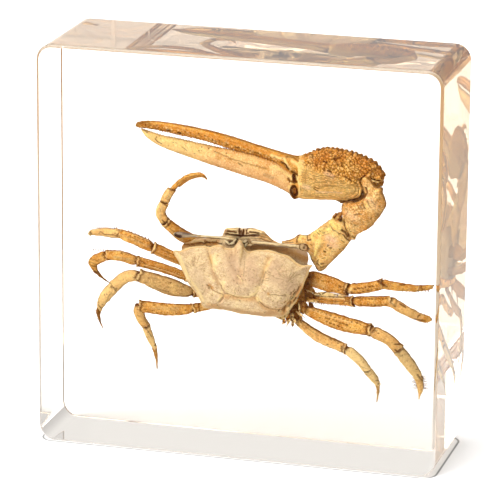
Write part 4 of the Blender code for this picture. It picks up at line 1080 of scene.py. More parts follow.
# The torn skin at the hips on the right: brown leathery flaps and flakes of pale shell, where the legs
# leave the body. The skin tore as the crab dried; each flap curls off the leg or the trunk that it hangs
# from.
HIP_FLAPS = (
    # a mark that tints it, how strongly, and rows of x, depth, height and half width
    ("dark", 0.75, (11.0, -0.6, 32.6, 0.5), (11.7, -0.2, 33.5, 0.5), (12.5, 0.2, 33.9, 0.2)),
    ("dark", 0.85, (10.9, 0.6, 32.4, 0.8), (11.4, 0.8, 31.0, 0.9), (12.0, 0.9, 29.9, 0.6),
     (12.8, 1.0, 29.4, 0.15)),
    ("dark", 0.6, (10.2, 0.2, 31.6, 0.7), (10.3, 0.3, 30.0, 0.8), (10.6, 0.4, 28.6, 0.7),
     (11.4, 0.5, 27.8, 0.25)),
    ("deep", 0.9, (9.8, -0.6, 31.2, 0.35), (9.9, -0.6, 29.8, 0.45), (9.4, -0.5, 28.4, 0.3)),
    ("dark", 0.5, (10.6, 0.0, 28.6, 0.5), (10.9, 0.0, 27.6, 0.6), (10.7, 0.2, 26.6, 0.3)),
    ("pale", 0.9, (10.15, -0.7, 28.3, 0.16), (10.3, -0.7, 27.2, 0.22), (10.2, -0.6, 26.3, 0.1)),
    ("dark", 0.8, (8.8, 0.4, 27.4, 0.6), (9.4, 0.4, 26.6, 0.7), (9.8, 0.5, 25.9, 0.3)),
    ("grey", 0.9, (8.9, -0.5, 26.2, 0.3), (9.0, -0.5, 25.0, 0.42), (8.9, -0.4, 24.0, 0.12)),
    ("pale", 0.9, (8.3, -1.2, 27.0, 0.25), (7.6, -1.3, 26.0, 0.35), (7.1, -1.2, 25.3, 0.12)),
    ("pale", 0.7, (7.6, -1.2, 26.2, 0.3), (6.8, -1.3, 25.7, 0.35), (6.2, -1.2, 25.5, 0.1)),
    ("deep", 0.7, (8.2, -0.8, 26.4, 0.3), (8.0, -0.8, 25.4, 0.32), (8.2, -0.8, 24.7, 0.1)),
    ("pale", 0.6, (11.6, 0.0, 28.9, 0.2), (12.6, 0.1, 29.0, 0.24), (13.6, 0.2, 28.9, 0.1)),
    ("dark", 0.7, (9.2, 0.6, 26.2, 0.35), (10.0, 0.8, 25.5, 0.4), (10.3, 0.9, 24.8, 0.12)),
    ("dark", 0.6, (11.6, 0.5, 31.9, 0.3), (12.4, 0.4, 31.3, 0.3), (12.9, 0.4, 30.6, 0.1)),
    ("pale", 0.8, (9.2, -1.0, 25.6, 0.22), (9.6, -1.0, 24.9, 0.25), (9.9, -1.0, 24.4, 0.08)),
    ("deep", 0.6, (7.2, -1.0, 25.8, 0.25), (7.4, -1.0, 25.0, 0.28), (7.2, -1.0, 24.4, 0.08)),
    ("pale", 0.8, (8.6, -1.1, 25.4, 0.25), (8.2, -1.1, 24.7, 0.22), (8.0, -1.1, 24.2, 0.08)),
    ("pale", 0.7, (9.9, -0.9, 26.8, 0.2), (10.6, -0.9, 26.4, 0.25), (11.2, -0.8, 26.0, 0.08)),
    ("dark", 0.9, (11.9, 0.9, 28.3, 0.3), (12.5, 0.9, 27.7, 0.35), (13.1, 1.0, 27.4, 0.1)),
    ("pale", 1.0, (12.6, 0.9, 30.3, 0.2), (14.6, 0.8, 30.4, 0.36), (16.8, 0.7, 30.45, 0.3),
     (18.7, 0.6, 30.5, 0.12)),
    ("grey", 0.9, (11.4, 0.3, 30.9, 0.2), (12.6, 0.5, 30.6, 0.3), (13.8, 0.6, 30.4, 0.12)),
)


def hip_flap(number, tint, strength, *rows):
    """A curled flap of dried skin with a ragged outline and a dark fold."""
    flap = tube([(*row, 0.4) for row in rows], BLUNT, BLUNT, spacing=0.1, sides=28)
    flap.mark(tint, strength)
    flap.marks["pale"] *= tint == "pale"
    flap.roughen(0.35 + 0.03 * number, 0.30)
    chance = random.Random(number)
    for _ in range(4):
        x, _, z, _ = rows[chance.randrange(len(rows))]
        line = [(x + chance.uniform(-0.4, 0.4), z + chance.uniform(-0.4, 0.4)) for _ in range(2)]
        flap.draw([("dark", 0.95, 0.14, *line), ("deep", 0.8, 0.4, line[1])])
    return flap


flaps = [hip_flap(number, *row) for number, row in enumerate(HIP_FLAPS)]
crab_piece("torn_hip_skin", flaps, dry_amber, "leg_amber")

# The bristles: stiff hairs of brown horn, which grow in loose rows along the legs' ends and are longest on
# the third foot on the right. They are drawn 0.2 mm thick, twice as thick as real ones, to show.
BRISTLE_RADIUS = 0.10
BRISTLES = (
    # where a row starts and ends (x, depth, height), how many, how long, and which way they point (x,
    # height)
    ((30.6, 8.0, 14.6), (30.9, 8.9, 12.4), 9, 0.9, (-0.9, -0.15)),
    ((32.3, 7.2, 15.2), (32.3, 8.8, 12.4), 12, 1.1, (1.0, -0.05)),
    ((12.2, 1.2, 28.6), (18.6, 0.8, 28.8), 22, 0.7, (0.35, -0.9)),
    ((31.0, 2.0, 27.0), (33.4, 3.4, 26.3), 9, 0.5, (0.2, -1.0)),
    ((-29.6, 2.6, 38.9), (-24.8, 0.6, 39.6), 12, 0.4, (-0.3, 1.0)),
    ((-29.3, 0.8, 35.0), (-25.8, 0.2, 35.3), 8, 0.45, (-0.3, 1.0)),
    ((-22.4, 0.2, 39.3), (-18.4, -0.4, 38.2), 7, 0.35, (0.1, 1.0)),
    ((29.0, 1.6, 32.1), (33.4, 4.0, 32.1), 9, 0.4, (0.2, -1.0)),
    ((-29.6, 3.4, 23.4), (-29.2, 4.0, 20.6), 6, 0.35, (-1.0, 0.0)),
    ((30.3, 1.8, 28.0), (32.6, 3.2, 26.6), 6, 0.35, (0.5, 0.8)),
)


def bristle_rings(root, way, length, width):
    """A tapered hair from its root to its tip, bent a little."""
    rings = []
    for share in (-0.25, 0.0, 0.5, 1.0):
        sag = np.array((0.0, 0.0, -0.12 * length * share**2))
        middle = np.array(root) + np.array(way) * length * share + sag
        turns = np.arange(4) * math.pi / 2
        thick = width * (1.05 - max(share, 0.0))
        rings.append(middle + thick * np.stack((np.cos(turns), np.sin(turns), 0.4 * np.sin(turns)), axis=1))
    return rings


chance = random.Random(21)
hairs = []
for first, last, number, length, (way_x, way_z) in BRISTLES:
    for share in np.linspace(0.0, 1.0, number):
        root = np.add(np.multiply(first, 1 - share), np.multiply(last, share))
        stray = np.array((chance.uniform(-0.3, 0.3), chance.uniform(-0.4, 0.2), chance.uniform(-0.3, 0.3)))
        way = np.array((way_x, 0.0, way_z)) + stray
        grown = length * chance.uniform(0.6, 1.1)
        hair = Shell(bristle_rings(root, way / np.linalg.norm(way), grown, BRISTLE_RADIUS))
        hair.mark("dark", 1.0)
        hairs.append(hair)
crab_piece("leg_bristles", hairs, dry_amber, "leg_amber")

# The big claw: its arm, wrist, hand and the hinged finger under the hand's own fixed one. The hand is a
# thick, swollen box of shell with grains over its upper half; the fingers are flat, with a row of fine
# teeth.
TOOTH_PITCH = 0.55
# each row of a part is a point on its upper edge and one on its lower edge, the depth, and half the
# thickness
HAND = (
    ((24.7, 52.9), (24.7, 51.6), 3.3, 0.5), ((24.4, 53.7), (24.4, 51.0), 3.3, 1.2),
    ((23.6, 54.7), (23.6, 50.9), 3.3, 1.8), ((22.6, 55.4), (22.6, 51.0), 3.3, 2.2),
    ((21.7, 55.8), (21.7, 50.0), 3.3, 2.4), ((20.9, 56.1), (20.9, 48.7), 3.3, 2.5),
    ((19.4, 56.5), (19.4, 48.0), 3.3, 2.6), ((17.0, 57.0), (17.0, 47.8), 3.3, 2.6),
    ((14.6, 57.1), (14.6, 47.7), 3.3, 2.6), ((12.4, 56.5), (12.4, 47.6), 3.3, 2.5),
    ((10.4, 55.8), (10.3, 47.5), 3.3, 2.2), ((9.2, 55.5), (9.4, 47.6), 3.2, 1.8),
)
FIXED_FINGER = (
    ((10.6, 55.6), (10.8, 50.5), 3.2, 1.4), ((9.2, 55.5), (9.2, 51.4), 3.1, 1.4),
    ((7.9, 55.6), (7.8, 52.1), 3.0, 1.2), ((6.6, 55.85), (6.5, 52.9), 3.0, 1.1),
    ((5.2, 56.15), (5.0, 54.0), 3.0, 1.05), ((1.2, 57.05), (1.2, 55.1), 3.0, 1.0),
    ((-3.0, 58.1), (-3.0, 55.8), 3.0, 0.95), ((-8.0, 59.05), (-8.0, 57.0), 3.0, 0.9),
    ((-13.5, 59.7), (-13.5, 57.85), 3.0, 0.8), ((-18.0, 59.95), (-18.0, 58.45), 3.0, 0.6),
    ((-20.8, 59.65), (-20.8, 58.6), 3.0, 0.35), ((-21.5, 59.2), (-21.5, 58.85), 3.0, 0.15),
)
FINGER = (
    ((8.5, 51.9), (8.3, 47.7), 3.1, 1.1), ((7.3, 52.5), (6.9, 48.6), 3.1, 1.35),
    ((5.4, 53.75), (5.1, 49.4), 3.0, 1.3), ((3.0, 54.45), (3.0, 50.1), 3.0, 1.25),
    ((-1.0, 55.3), (-1.0, 51.0), 3.0, 1.1), ((-5.0, 55.75), (-5.0, 52.0), 3.0, 1.0),
    ((-9.0, 56.25), (-9.0, 53.0), 3.0, 0.95), ((-13.0, 56.85), (-13.0, 54.1), 3.0, 0.85),
    ((-16.5, 57.3), (-16.5, 55.15), 3.0, 0.75), ((-19.3, 57.95), (-19.3, 56.6), 3.0, 0.5),
    ((-20.5, 58.25), (-20.5, 57.95), 3.0, 0.15),
)
WRIST = (
    ((19.1, 40.7), (19.8, 40.8), 2.8, 0.4), ((18.6, 41.9), (20.5, 42.0), 2.8, 0.9),
    ((18.0, 42.6), (22.0, 42.9), 2.8, 1.5), ((17.7, 43.6), (23.2, 43.9), 2.8, 1.9),
    ((17.5, 45.0), (24.4, 45.6), 2.7, 2.2), ((17.3, 46.6), (25.4, 47.4), 2.7, 2.3),
    ((17.9, 47.5), (25.4, 48.5), 2.6, 2.2), ((20.3, 48.3), (25.2, 49.1), 2.4, 2.0),
    ((21.5, 49.4), (24.8, 50.0), 2.2, 1.7), ((21.5, 50.5), (24.2, 50.9), 1.9, 1.3),
    ((21.2, 51.4), (23.3, 51.6), 1.4, 1.0), ((21.2, 52.3), (22.6, 52.4), 1.0, 0.7),
    ((21.7, 52.9), (22.0, 52.9), 0.9, 0.3),
)
ARM = (
    ((17.2, 45.2), (19.1, 40.6), 2.6, 1.1), ((15.9, 44.5), (18.0, 38.9), 2.6, 1.8),
    ((14.4, 43.3), (16.6, 37.3), 2.6, 1.9), ((13.0, 42.3), (15.1, 35.6), 2.6, 1.9),
    ((11.9, 41.5), (13.6, 34.2), 2.6, 1.7), ((11.1, 41.0), (12.3, 35.5), 2.7, 1.5),
    ((10.5, 40.8), (11.3, 37.5), 2.7, 1.3), ((9.4, 40.8), (9.6, 38.3), 2.8, 1.1),
    ((7.9, 39.8), (8.1, 38.2), 2.8, 0.8), ((6.2, 39.3), (6.4, 38.0), 2.9, 0.7),
)
HAND_STROKES = (
    # the pale rim of the hand's open end, and the yellow skin above it
    ("pale", 0.95, 0.24, (9.3, 51.6), (9.6, 50.6), (9.7, 49.6), (9.6, 48.6), (9.3, 47.9)),
    ("pale", 0.7, 0.5, (9.4, 54.9), (10.2, 53.9), (10.2, 53.0)),
    ("dark", 0.5, 0.15, (10.9, 53.4), (10.6, 52.4), (10.7, 51.2)),
    ("relief", 0.25, 0.3, (9.3, 51.6), (9.7, 49.8), (9.3, 48.0)),
    # nicks and creases
    ("dark", 1.0, 0.36, (13.9, 55.1), (14.4, 55.05), (14.8, 55.0)),
    ("relief", -0.45, 0.45, (13.9, 55.1), (14.8, 55.0)), ("dark", 0.8, 0.25, (16.2, 55.8), (17.0, 55.9)),
    ("dark", 0.9, 0.22, (15.0, 53.6), (15.5, 53.4)), ("dark", 0.9, 0.2, (17.4, 54.6), (17.8, 54.4)),
    ("dark", 0.95, 0.22, (18.4, 52.7), (18.8, 52.5), (19.3, 52.2)),
    ("dark", 0.8, 0.16, (12.4, 50.2), (13.3, 50.1)), ("dark", 0.85, 0.17, (12.3, 49.9), (13.1, 49.5)),
    ("dark", 0.65, 0.14, (13.3, 50.5), (15.2, 50.7), (16.9, 50.8)),
    ("dark", 0.6, 0.14, (14.6, 51.7), (15.7, 51.6)), ("grey", 0.85, 0.8, (10.5, 50.1), (11.3, 50.0)),
    ("grey", 0.7, 0.35, (12.8, 49.3), (17.5, 49.5)), ("grey", 0.5, 0.9, (14.8, 53.0), (15.8, 52.6)),
    ("dark", 0.6, 0.15, (15.6, 51.3), (16.6, 51.5)), ("dark", 0.6, 0.15, (12.4, 51.9), (13.0, 51.6)),
    ("deep", 0.7, 0.5, (10.0, 48.6), (13.1, 48.2), (16.4, 48.3), (18.3, 48.6)),
    ("pale", 0.6, 0.25, (11.0, 49.0), (14.0, 48.9), (17.0, 49.0)),
    # the swelling over the hand, painted shade in the seam and slot at its heel, and a painted glint in the
    # slot
    ("relief", 0.5, 3.2, (13.5, 52.6), (19.0, 52.8)),
    ("relief", -0.5, 0.5, (21.9, 53.2), (20.8, 52.2), (21.4, 51.0), (21.6, 50.0), (21.2, 49.0)),
    ("dark", 0.95, 0.26, (21.9, 53.2), (21.2, 52.7), (21.2, 52.3), (21.6, 51.4), (21.9, 50.4), (21.6, 49.4),
     (20.5, 48.5), (18.6, 48.0)),
    ("dark", 1.0, 0.2, (22.8, 52.75), (23.3, 52.5), (24.1, 52.35)),
    ("pale", 1.0, 0.22, (23.0, 52.35), (23.5, 52.15), (24.0, 52.1)),
    ("dark", 1.0, 0.17, (23.2, 51.9), (23.9, 51.8)),
    ("deep", 0.9, 0.7, (23.6, 53.8), (24.5, 53.0), (24.8, 52.0), (24.6, 51.0)),
    ("relief", 0.4, 0.8, (24.1, 52.2), (24.2, 53.2)), ("dark", 0.6, 0.2, (22.6, 53.0), (22.9, 53.6)),
    ("dark", 0.3, 0.5, (24.5, 53.2), (24.8, 51.8)),
)
FIXED_FINGER_STROKES = (
    # the yellow skin where the finger leaves the hand, and painted shade in the pocket under it
    ("pale", 0.95, 0.42, (4.2, 55.3), (5.5, 55.0), (6.6, 54.9), (7.2, 53.8), (7.8, 53.1)),
    ("pale", 0.8, 0.5, (8.0, 54.6), (9.3, 54.0), (9.6, 53.2)),
    ("dark", 0.95, 0.3, (6.1, 54.2), (6.9, 53.7), (7.5, 53.0)),
    ("relief", -0.4, 0.35, (6.1, 54.2), (6.9, 53.7)),
    ("dark", 0.9, 0.4, (8.1, 52.6), (8.9, 52.3), (9.2, 51.7)),
    ("dark", 0.6, 0.2, (7.0, 55.3), (8.3, 55.2), (9.3, 54.6)),
    # the brown tip, and spots along the biting edge
    ("dark", 0.6, 0.55, (-21.3, 59.1), (-20.4, 59.6), (-19.3, 59.8)),
    ("dark", 0.35, 0.9, (-20.6, 59.1), (-19.2, 59.4)), ("dark", 0.9, 0.22, (-19.6, 59.1)),
    ("relief", 0.2, 0.35, (-20.4, 59.5)), ("relief", 0.2, 0.35, (-19.2, 59.6)),
    ("dark", 0.8, 0.2, (-17.2, 58.7)), ("dark", 0.85, 0.2, (-15.6, 58.5), (-14.8, 58.5)),
    ("dark", 0.9, 0.24, (-13.4, 58.2), (-12.8, 58.15)), ("dark", 0.8, 0.2, (-9.4, 58.3)),
    ("dark", 0.8, 0.2, (-8.3, 58.0)), ("dark", 0.85, 0.22, (-6.8, 57.4)), ("dark", 0.8, 0.2, (-5.6, 57.3)),
    ("dark", 0.8, 0.24, (-2.6, 56.4), (-1.9, 56.3)), ("dark", 0.7, 0.2, (1.0, 55.7), (1.8, 55.5)),
    ("deep", 0.7, 0.7, (-11.0, 58.4), (-4.0, 57.2), (4.0, 55.7)),
    ("relief", -0.16, 0.3, (-18.9, 59.2), (-14.5, 59.0), (-9.7, 58.4), (-4.9, 57.5), (-0.2, 56.6),
     (4.0, 55.8)),
)
FINGER_STROKES = (
    ("relief", 0.22, 0.6, (-6.5, 55.4), (-3.3, 54.4), (-0.2, 53.8), (3.3, 53.1)),
    ("dark", 0.35, 0.16, (-6.5, 55.2), (-3.3, 54.15), (-0.2, 53.5), (3.3, 52.8)),
    ("dark", 0.8, 0.13, (-17.4, 57.1), (-17.7, 56.6), (-17.3, 56.2), (-16.5, 55.9)),
    ("dark", 0.85, 0.17, (-9.4, 55.1)), ("dark", 0.85, 0.17, (-7.6, 55.7)),
    ("dark", 0.7, 0.14, (-10.2, 54.5)), ("dark", 0.8, 0.17, (-4.2, 55.0)),
    ("dark", 0.7, 0.14, (-17.0, 57.2)),
    ("deep", 0.55, 0.5, (-12.9, 54.5), (-9.7, 53.5), (-4.9, 52.4), (-0.2, 51.3), (4.4, 50.0)),
    ("deep", 0.5, 1.3, (0.5, 51.8), (3.5, 50.8), (6.5, 49.6)), ("dark", 0.3, 0.5, (3.0, 51.6), (4.5, 51.2)),
    ("grey", 0.35, 0.7, (4.8, 52.4), (6.4, 51.4)),
    ("dark", 0.55, 0.2, (5.2, 49.4), (6.6, 48.8), (7.8, 48.4)),
    ("pale", 0.7, 0.4, (5.0, 53.3), (6.6, 52.4), (7.8, 51.5)),
    ("dark", 0.85, 0.24, (7.4, 51.3), (7.9, 50.4), (8.1, 49.6)),
    ("pale", 0.6, 0.3, (7.5, 50.0), (7.7, 48.9)), ("dark", 0.6, 0.16, (-2.0, 53.4), (-1.2, 53.0)),
    ("dark", 0.5, 0.14, (-12.6, 55.6), (-11.9, 55.2)), ("deep", 0.5, 0.6, (-20.2, 58.0), (-18.4, 57.4)),
    ("dark", 0.5, 0.16, (-20.2, 58.1), (-19.2, 57.7)),
)
WRIST_STROKES = (
    # the ring under the hand's heel, torn open on its upper side, with painted shade along its seam to the hand
    ("relief", 0.5, 0.7, (24.3, 50.4)), ("deep", 0.6, 0.5, (24.4, 50.6), (25.0, 49.6)),
    ("dark", 0.85, 0.22, (21.9, 51.0), (22.1, 49.9), (21.2, 48.9), (19.6, 48.2), (18.2, 47.7)),
    ("relief", -0.35, 0.4, (22.1, 50.8), (22.2, 49.7), (21.3, 48.7), (19.6, 48.0)),
    ("dark", 0.6, 0.2, (23.4, 51.4), (24.2, 50.8)),
    ("dark", 0.75, 0.18, (21.4, 48.3), (21.7, 47.4), (22.0, 47.1)),
    ("dark", 0.7, 0.16, (21.0, 47.6), (21.4, 46.9)), ("pale", 0.95, 0.2, (21.9, 48.4), (22.4, 47.5)),
    ("pale", 0.9, 0.18, (22.6, 48.5), (23.2, 47.6)), ("dark", 0.7, 0.16, (22.3, 48.6), (22.8, 47.6)),
    ("dark", 0.6, 0.14, (23.0, 48.7), (23.7, 47.9)),
    ("dark", 0.8, 0.2, (20.1, 45.8), (20.7, 46.0), (21.3, 46.0)),
    ("relief", 0.4, 1.4, (19.0, 45.6), (20.3, 44.9)), ("grey", 0.5, 1.2, (18.8, 45.9), (20.0, 45.4)),
    ("grey", 0.4, 1.2, (22.6, 48.9), (23.6, 47.6)),
    ("dark", 0.8, 0.2, (17.9, 44.6), (18.0, 43.3), (18.4, 42.5)),
    ("pale", 0.8, 0.25, (18.5, 43.6), (18.8, 42.7), (19.4, 41.9)),
    ("dark", 0.7, 0.2, (19.0, 41.6), (19.8, 41.2)), ("relief", 0.3, 0.5, (20.8, 42.6), (22.0, 43.4)),
    ("deep", 0.6, 0.4, (19.6, 42.0), (20.8, 42.5), (22.0, 43.2)),
    ("dark", 0.6, 0.16, (18.2, 46.9), (18.9, 46.2), (18.4, 45.4)),
    ("dark", 0.5, 0.14, (19.4, 44.0), (20.6, 43.6)),
    ("deep", 0.9, 0.8, (17.8, 47.2), (19.6, 47.8), (21.2, 48.0)),
)
ARM_STROKES = (
    # the cream plate of its upper end, with a ragged brown opening behind it
    ("dark", 0.85, 0.5, (16.5, 44.9), (17.0, 45.1), (17.3, 44.4)),
    ("dark", 0.9, 0.3, (16.1, 44.9), (16.5, 45.5), (17.5, 45.5)),
    ("deep", 0.8, 0.4, (16.6, 44.6), (16.9, 45.2)), ("relief", -0.7, 0.6, (16.7, 44.8), (17.1, 44.6)),
    ("pale", 1.0, 0.75, (15.9, 44.2), (16.0, 43.5), (16.6, 42.9), (17.3, 42.8)),
    ("pale", 1.0, 0.4, (16.4, 43.7), (17.1, 43.2)),
    ("relief", 0.45, 0.5, (15.9, 44.3), (16.0, 43.5), (16.6, 42.9), (17.4, 42.8)),
    ("dark", 0.8, 0.13, (15.5, 43.4), (15.7, 42.9), (16.2, 42.4)),
    ("dark", 0.6, 0.12, (16.3, 42.5), (17.0, 42.0), (17.6, 42.1)),
    # the ridge up to it, and the fold that runs down from it, with painted yellow highlights along both
    ("relief", 0.5, 0.6, (12.2, 41.0), (13.4, 42.0), (14.8, 43.1), (15.6, 43.7)),
    ("pale", 1.0, 0.6, (12.3, 41.1), (13.3, 41.7), (14.2, 42.2)),
    ("deep", 0.8, 0.35, (13.6, 42.3), (14.3, 42.7), (14.7, 42.9)),
    ("pale", 1.0, 0.5, (14.7, 42.3), (15.2, 42.7), (15.6, 43.2)),
    ("pale", 0.9, 0.2, (13.7, 41.3), (14.2, 41.7), (15.2, 42.0), (15.6, 42.4)),
    ("dark", 0.75, 0.13, (13.2, 41.7), (13.5, 41.4)),
    ("dark", 0.6, 0.12, (13.9, 41.3), (14.4, 41.5), (15.2, 41.8)),
    ("dark", 0.8, 0.14, (14.1, 41.8), (14.5, 41.9)),
    ("relief", 0.4, 0.5, (13.8, 40.6), (13.4, 39.4), (12.9, 38.3), (12.8, 37.3)),
    ("pale", 1.0, 0.55, (13.8, 40.5), (13.4, 39.4), (12.9, 38.4), (12.8, 37.6)),
    ("relief", -0.3, 0.5, (13.0, 40.6), (12.5, 39.4)), ("relief", -0.3, 0.45, (14.2, 39.6), (13.7, 38.4)),
    ("deep", 0.8, 0.5, (12.1, 39.9), (12.2, 38.2), (12.9, 36.4)),
    ("pale", 0.9, 0.7, (12.2, 41.0), (12.4, 40.2)),
    # the pinkish flat beside it, with its rings and specks
    ("grey", 0.85, 1.3, (15.2, 41.0), (16.2, 40.6)), ("grey", 0.6, 1.0, (15.4, 39.8), (16.6, 39.6)),
    ("pale", 0.8, 0.16, (15.0, 41.2), (15.4, 40.8)),
    ("dark", 0.35, 0.10, (15.1, 41.4), (15.6, 41.1), (15.4, 40.6), (14.9, 40.7)),
    ("dark", 0.35, 0.10, (16.2, 41.7), (16.6, 41.3), (16.1, 41.0)),
    ("dark", 0.95, 0.2, (14.4, 38.5), (14.7, 38.4)), ("dark", 0.9, 0.16, (14.8, 38.9)),
    ("dark", 0.95, 0.2, (15.5, 39.2), (15.8, 39.2)), ("dark", 0.85, 0.15, (15.1, 39.5), (15.3, 39.7)),
    ("dark", 0.8, 0.17, (17.3, 39.0)), ("pale", 0.7, 0.18, (15.0, 38.3), (16.0, 38.2), (16.8, 38.1)),
    # orange skin along the lower right edge, and pale curls at the bottom
    ("deep", 0.75, 0.9, (18.5, 39.6), (16.7, 37.8), (14.9, 36.2)),
    ("dark", 0.4, 0.3, (19.0, 39.4), (17.2, 37.6), (15.0, 35.6), (14.0, 34.6)),
    ("dark", 0.8, 0.14, (13.4, 36.7), (13.1, 36.1), (13.5, 35.7)),
    ("pale", 0.9, 0.2, (13.7, 36.5), (13.5, 36.0), (13.9, 35.6)),
    ("dark", 0.9, 0.17, (13.8, 36.0), (14.3, 36.0)), ("dark", 0.8, 0.15, (13.7, 35.4), (14.2, 35.3)),
    ("pale", 0.8, 0.2, (13.9, 34.9), (14.6, 35.2)), ("dark", 0.6, 0.13, (14.1, 37.0), (14.6, 37.2)),
    ("pale", 0.8, 0.22, (13.3, 37.5), (13.6, 36.9)),
    ("dark", 0.75, 0.22, (11.2, 38.3), (11.8, 37.0), (12.7, 35.2), (13.1, 34.5)),
    # painted shade in the gap to the wrist, with pale threads across it
    ("dark", 0.95, 0.3, (17.6, 42.6), (18.2, 42.2), (18.7, 41.4)),
    ("dark", 0.9, 0.18, (17.9, 41.8), (18.5, 41.0), (18.9, 40.6)),
    ("pale", 0.9, 0.15, (18.0, 42.6), (18.6, 41.9)), ("pale", 0.8, 0.15, (17.6, 41.6), (18.3, 40.8)),
    ("dark", 0.7, 0.12, (17.5, 40.8), (18.1, 40.3)),
    # the broken ring where the arm leaves the body, with a painted highlight on it
    ("pale", 0.95, 0.45, (9.6, 40.0), (9.9, 40.7), (10.8, 40.8)),
    ("pale", 1.0, 0.25, (10.7, 41.1), (10.7, 40.4)), ("deep", 0.8, 0.4, (10.4, 40.4), (11.2, 39.7)),
    ("dark", 0.95, 0.18, (9.2, 39.5), (9.3, 40.7), (9.7, 41.1), (10.3, 41.0)),
    ("dark", 0.85, 0.15, (11.0, 41.2), (11.1, 40.5), (11.2, 40.2)),
    ("dark", 0.9, 0.2, (11.2, 40.1), (11.9, 40.3)), ("grey", 0.7, 0.6, (6.6, 38.8), (8.2, 39.1)),
    ("dark", 0.5, 0.15, (6.4, 39.0), (7.6, 39.3), (8.4, 39.4)),
)


def plate(rows, spacing=0.13, sides=90, fullness=0.8, upper_teeth=0.0, lower_teeth=0.0):
    """A flat or swollen part between two edges; the lower its fullness, the squarer it is in section."""
    flat = [
        ((a[0] + b[0]) / 2, depth, (a[1] + b[1]) / 2, (a[0] - b[0]) / 2, (a[1] - b[1]) / 2, half)
        for a, b, depth, half in rows
    ]
    line = flowing(flat, spacing)
    turns = np.linspace(0.0, 2 * math.pi, sides, endpoint=False)
    up, out = np.cos(turns), np.sign(np.sin(turns)) * np.abs(np.sin(turns)) ** fullness
    toothed = np.abs(np.sin(np.arange(len(line)) * spacing * math.pi / TOOTH_PITCH)) ** 0.6
    rings = []
    for (x, y, z, dx, dz, half), tooth in zip(line, toothed):
        long = math.hypot(dx, dz)
        stretch = long + tooth * (upper_teeth * (up > 0.9) + lower_teeth * (up < -0.9))
        across = up * stretch / long
        rings.append(np.stack((x + dx * across, y + out * max(half, 0.05), z + dz * across), axis=1))
    shell = Shell(rings)
    shell.up = up[None, :]
    from_edge = (1 - np.abs(shell.up)) * np.linalg.norm(line[:, 3:5], axis=1)[:, None]
    # deeper amber and a dark outline of painted shade towards both edges
    shell.mark("deep", 0.8 * smooth(1 - from_edge / 0.45))
    shell.mark("dark", 0.6 * smooth(1 - from_edge / 0.2))
    return shell


def grained(shell, size, height, darkness, where):
    """Round grains of the shell, close together: a dark ring round each one's foot, partly brown shell and
    partly painted shade, and a painted highlight on its top.
    """
    flat = shell.points.reshape(-1, 3) / size
    cells = np.array([noise.voronoi(Vector(point))[0][:2] for point in flat.tolist()])
    near, beyond = (column.reshape(shell.points.shape[:2]) for column in cells.T)
    shell.raised(height * where * smooth((beyond - near) / 0.55))
    # painted shade round each grain's foot, partly the shell's own brown, and a painted highlight on its top
    shell.mark("deep", 0.75 * where * smooth(1 - (beyond - near) / 0.40))
    shell.mark("dark", darkness * where * smooth(1 - (beyond - near) / 0.2))
    shell.mark("pale", 0.22 * where * smooth((beyond - near - 0.25) / 0.4))


def hinge_skin():
    """The dried joint between hand and finger: skin made dark, partly as painted shade in the gap, with painted
    shade in the two sockets that the finger turns in.
    """
    rows = (
        ((8.2, 52.4), (8.9, 52.4), 2.9, 0.5), ((7.8, 51.6), (9.4, 51.6), 2.7, 1.0),
        ((7.6, 50.0), (9.7, 50.0), 2.6, 1.25), ((7.6, 48.7), (9.7, 48.7), 2.6, 1.2),
        ((7.8, 47.9), (9.4, 47.9), 2.7, 0.9), ((8.2, 47.5), (9.0, 47.5), 2.8, 0.5),
    )
    skin_lump = plate(rows, spacing=0.12, sides=80)
    skin_lump.marks["dark"] *= 0.5
    turns = np.linspace(0.0, 6.3, 14)
    socket = list(zip(8.55 + 0.62 * np.cos(turns), 49.05 + 1.0 * np.sin(turns)))
    skin_lump.draw((
        ("pale", 0.9, 0.6, (7.9, 51.9), (7.7, 50.2), (7.8, 48.4)), ("deep", 1.0, 1.0, (8.6, 49.5), (8.6, 48.6)),
        ("dark", 0.4, 0.95, (8.6, 49.5), (8.6, 48.6)), ("relief", -0.7, 0.85, (8.6, 49.5), (8.6, 48.6)),
        ("dark", 1.0, 0.34, *socket), ("dark", 0.5, 0.8, (8.6, 51.4)),
        ("dark", 1.0, 0.62, (8.4, 51.9), (8.6, 51.0)), ("relief", -0.5, 0.5, (8.5, 51.6)),
        ("dark", 0.9, 0.25, (7.9, 50.9), (8.6, 50.6), (9.3, 51.0)),
        ("pale", 1.0, 0.2, (8.9, 51.9), (9.1, 51.3)), ("dark", 0.9, 0.25, (8.0, 47.7), (9.2, 47.7)),
    ))
    skin_lump.roughen(0.4, 0.2)
    return skin_lump


def hand_creases(shell):
    """Fine creases along the hand's lower half and round its heel, and specks where grains have worn off."""
    chance = random.Random(11)
    for height in np.arange(48.3, 53.6, 0.2):
        last = min(20.6, 9.9 + (54.0 - height) / 0.27)
        start = chance.uniform(9.7, 10.3)
        while start < last - 0.6:
            end = min(start + chance.uniform(0.8, 3.0), last)
            steps = np.linspace(start, end, 5)
            line = list(zip(steps, height + 0.12 * np.sin(steps * 0.9) + 0.03 * (steps - 15.0)))
            crease = ("dark", chance.uniform(0.25, 0.65), 0.10, *line)
            shell.draw([crease, ("relief", -0.10, 0.18, *line)], stain=0.3)
            start = end + chance.uniform(0.2, 0.8)
    turns = np.linspace(-1.2, 1.2, 8)
    for reach in (0.9, 1.5, 2.1):
        curve = list(zip(19.2 + reach * np.cos(turns), 50.4 + 1.2 * reach * np.sin(turns)))
        shell.draw([("dark", 0.6, 0.13, *curve), ("relief", -0.12, 0.22, *curve)], stain=0.3)
    for _ in range(90):
        x, z = chance.uniform(10.5, 23.8), chance.uniform(50.2, 56.4)
        shell.draw([("dark", chance.uniform(0.5, 0.95), chance.uniform(0.10, 0.20), (x, z))], stain=0.4)


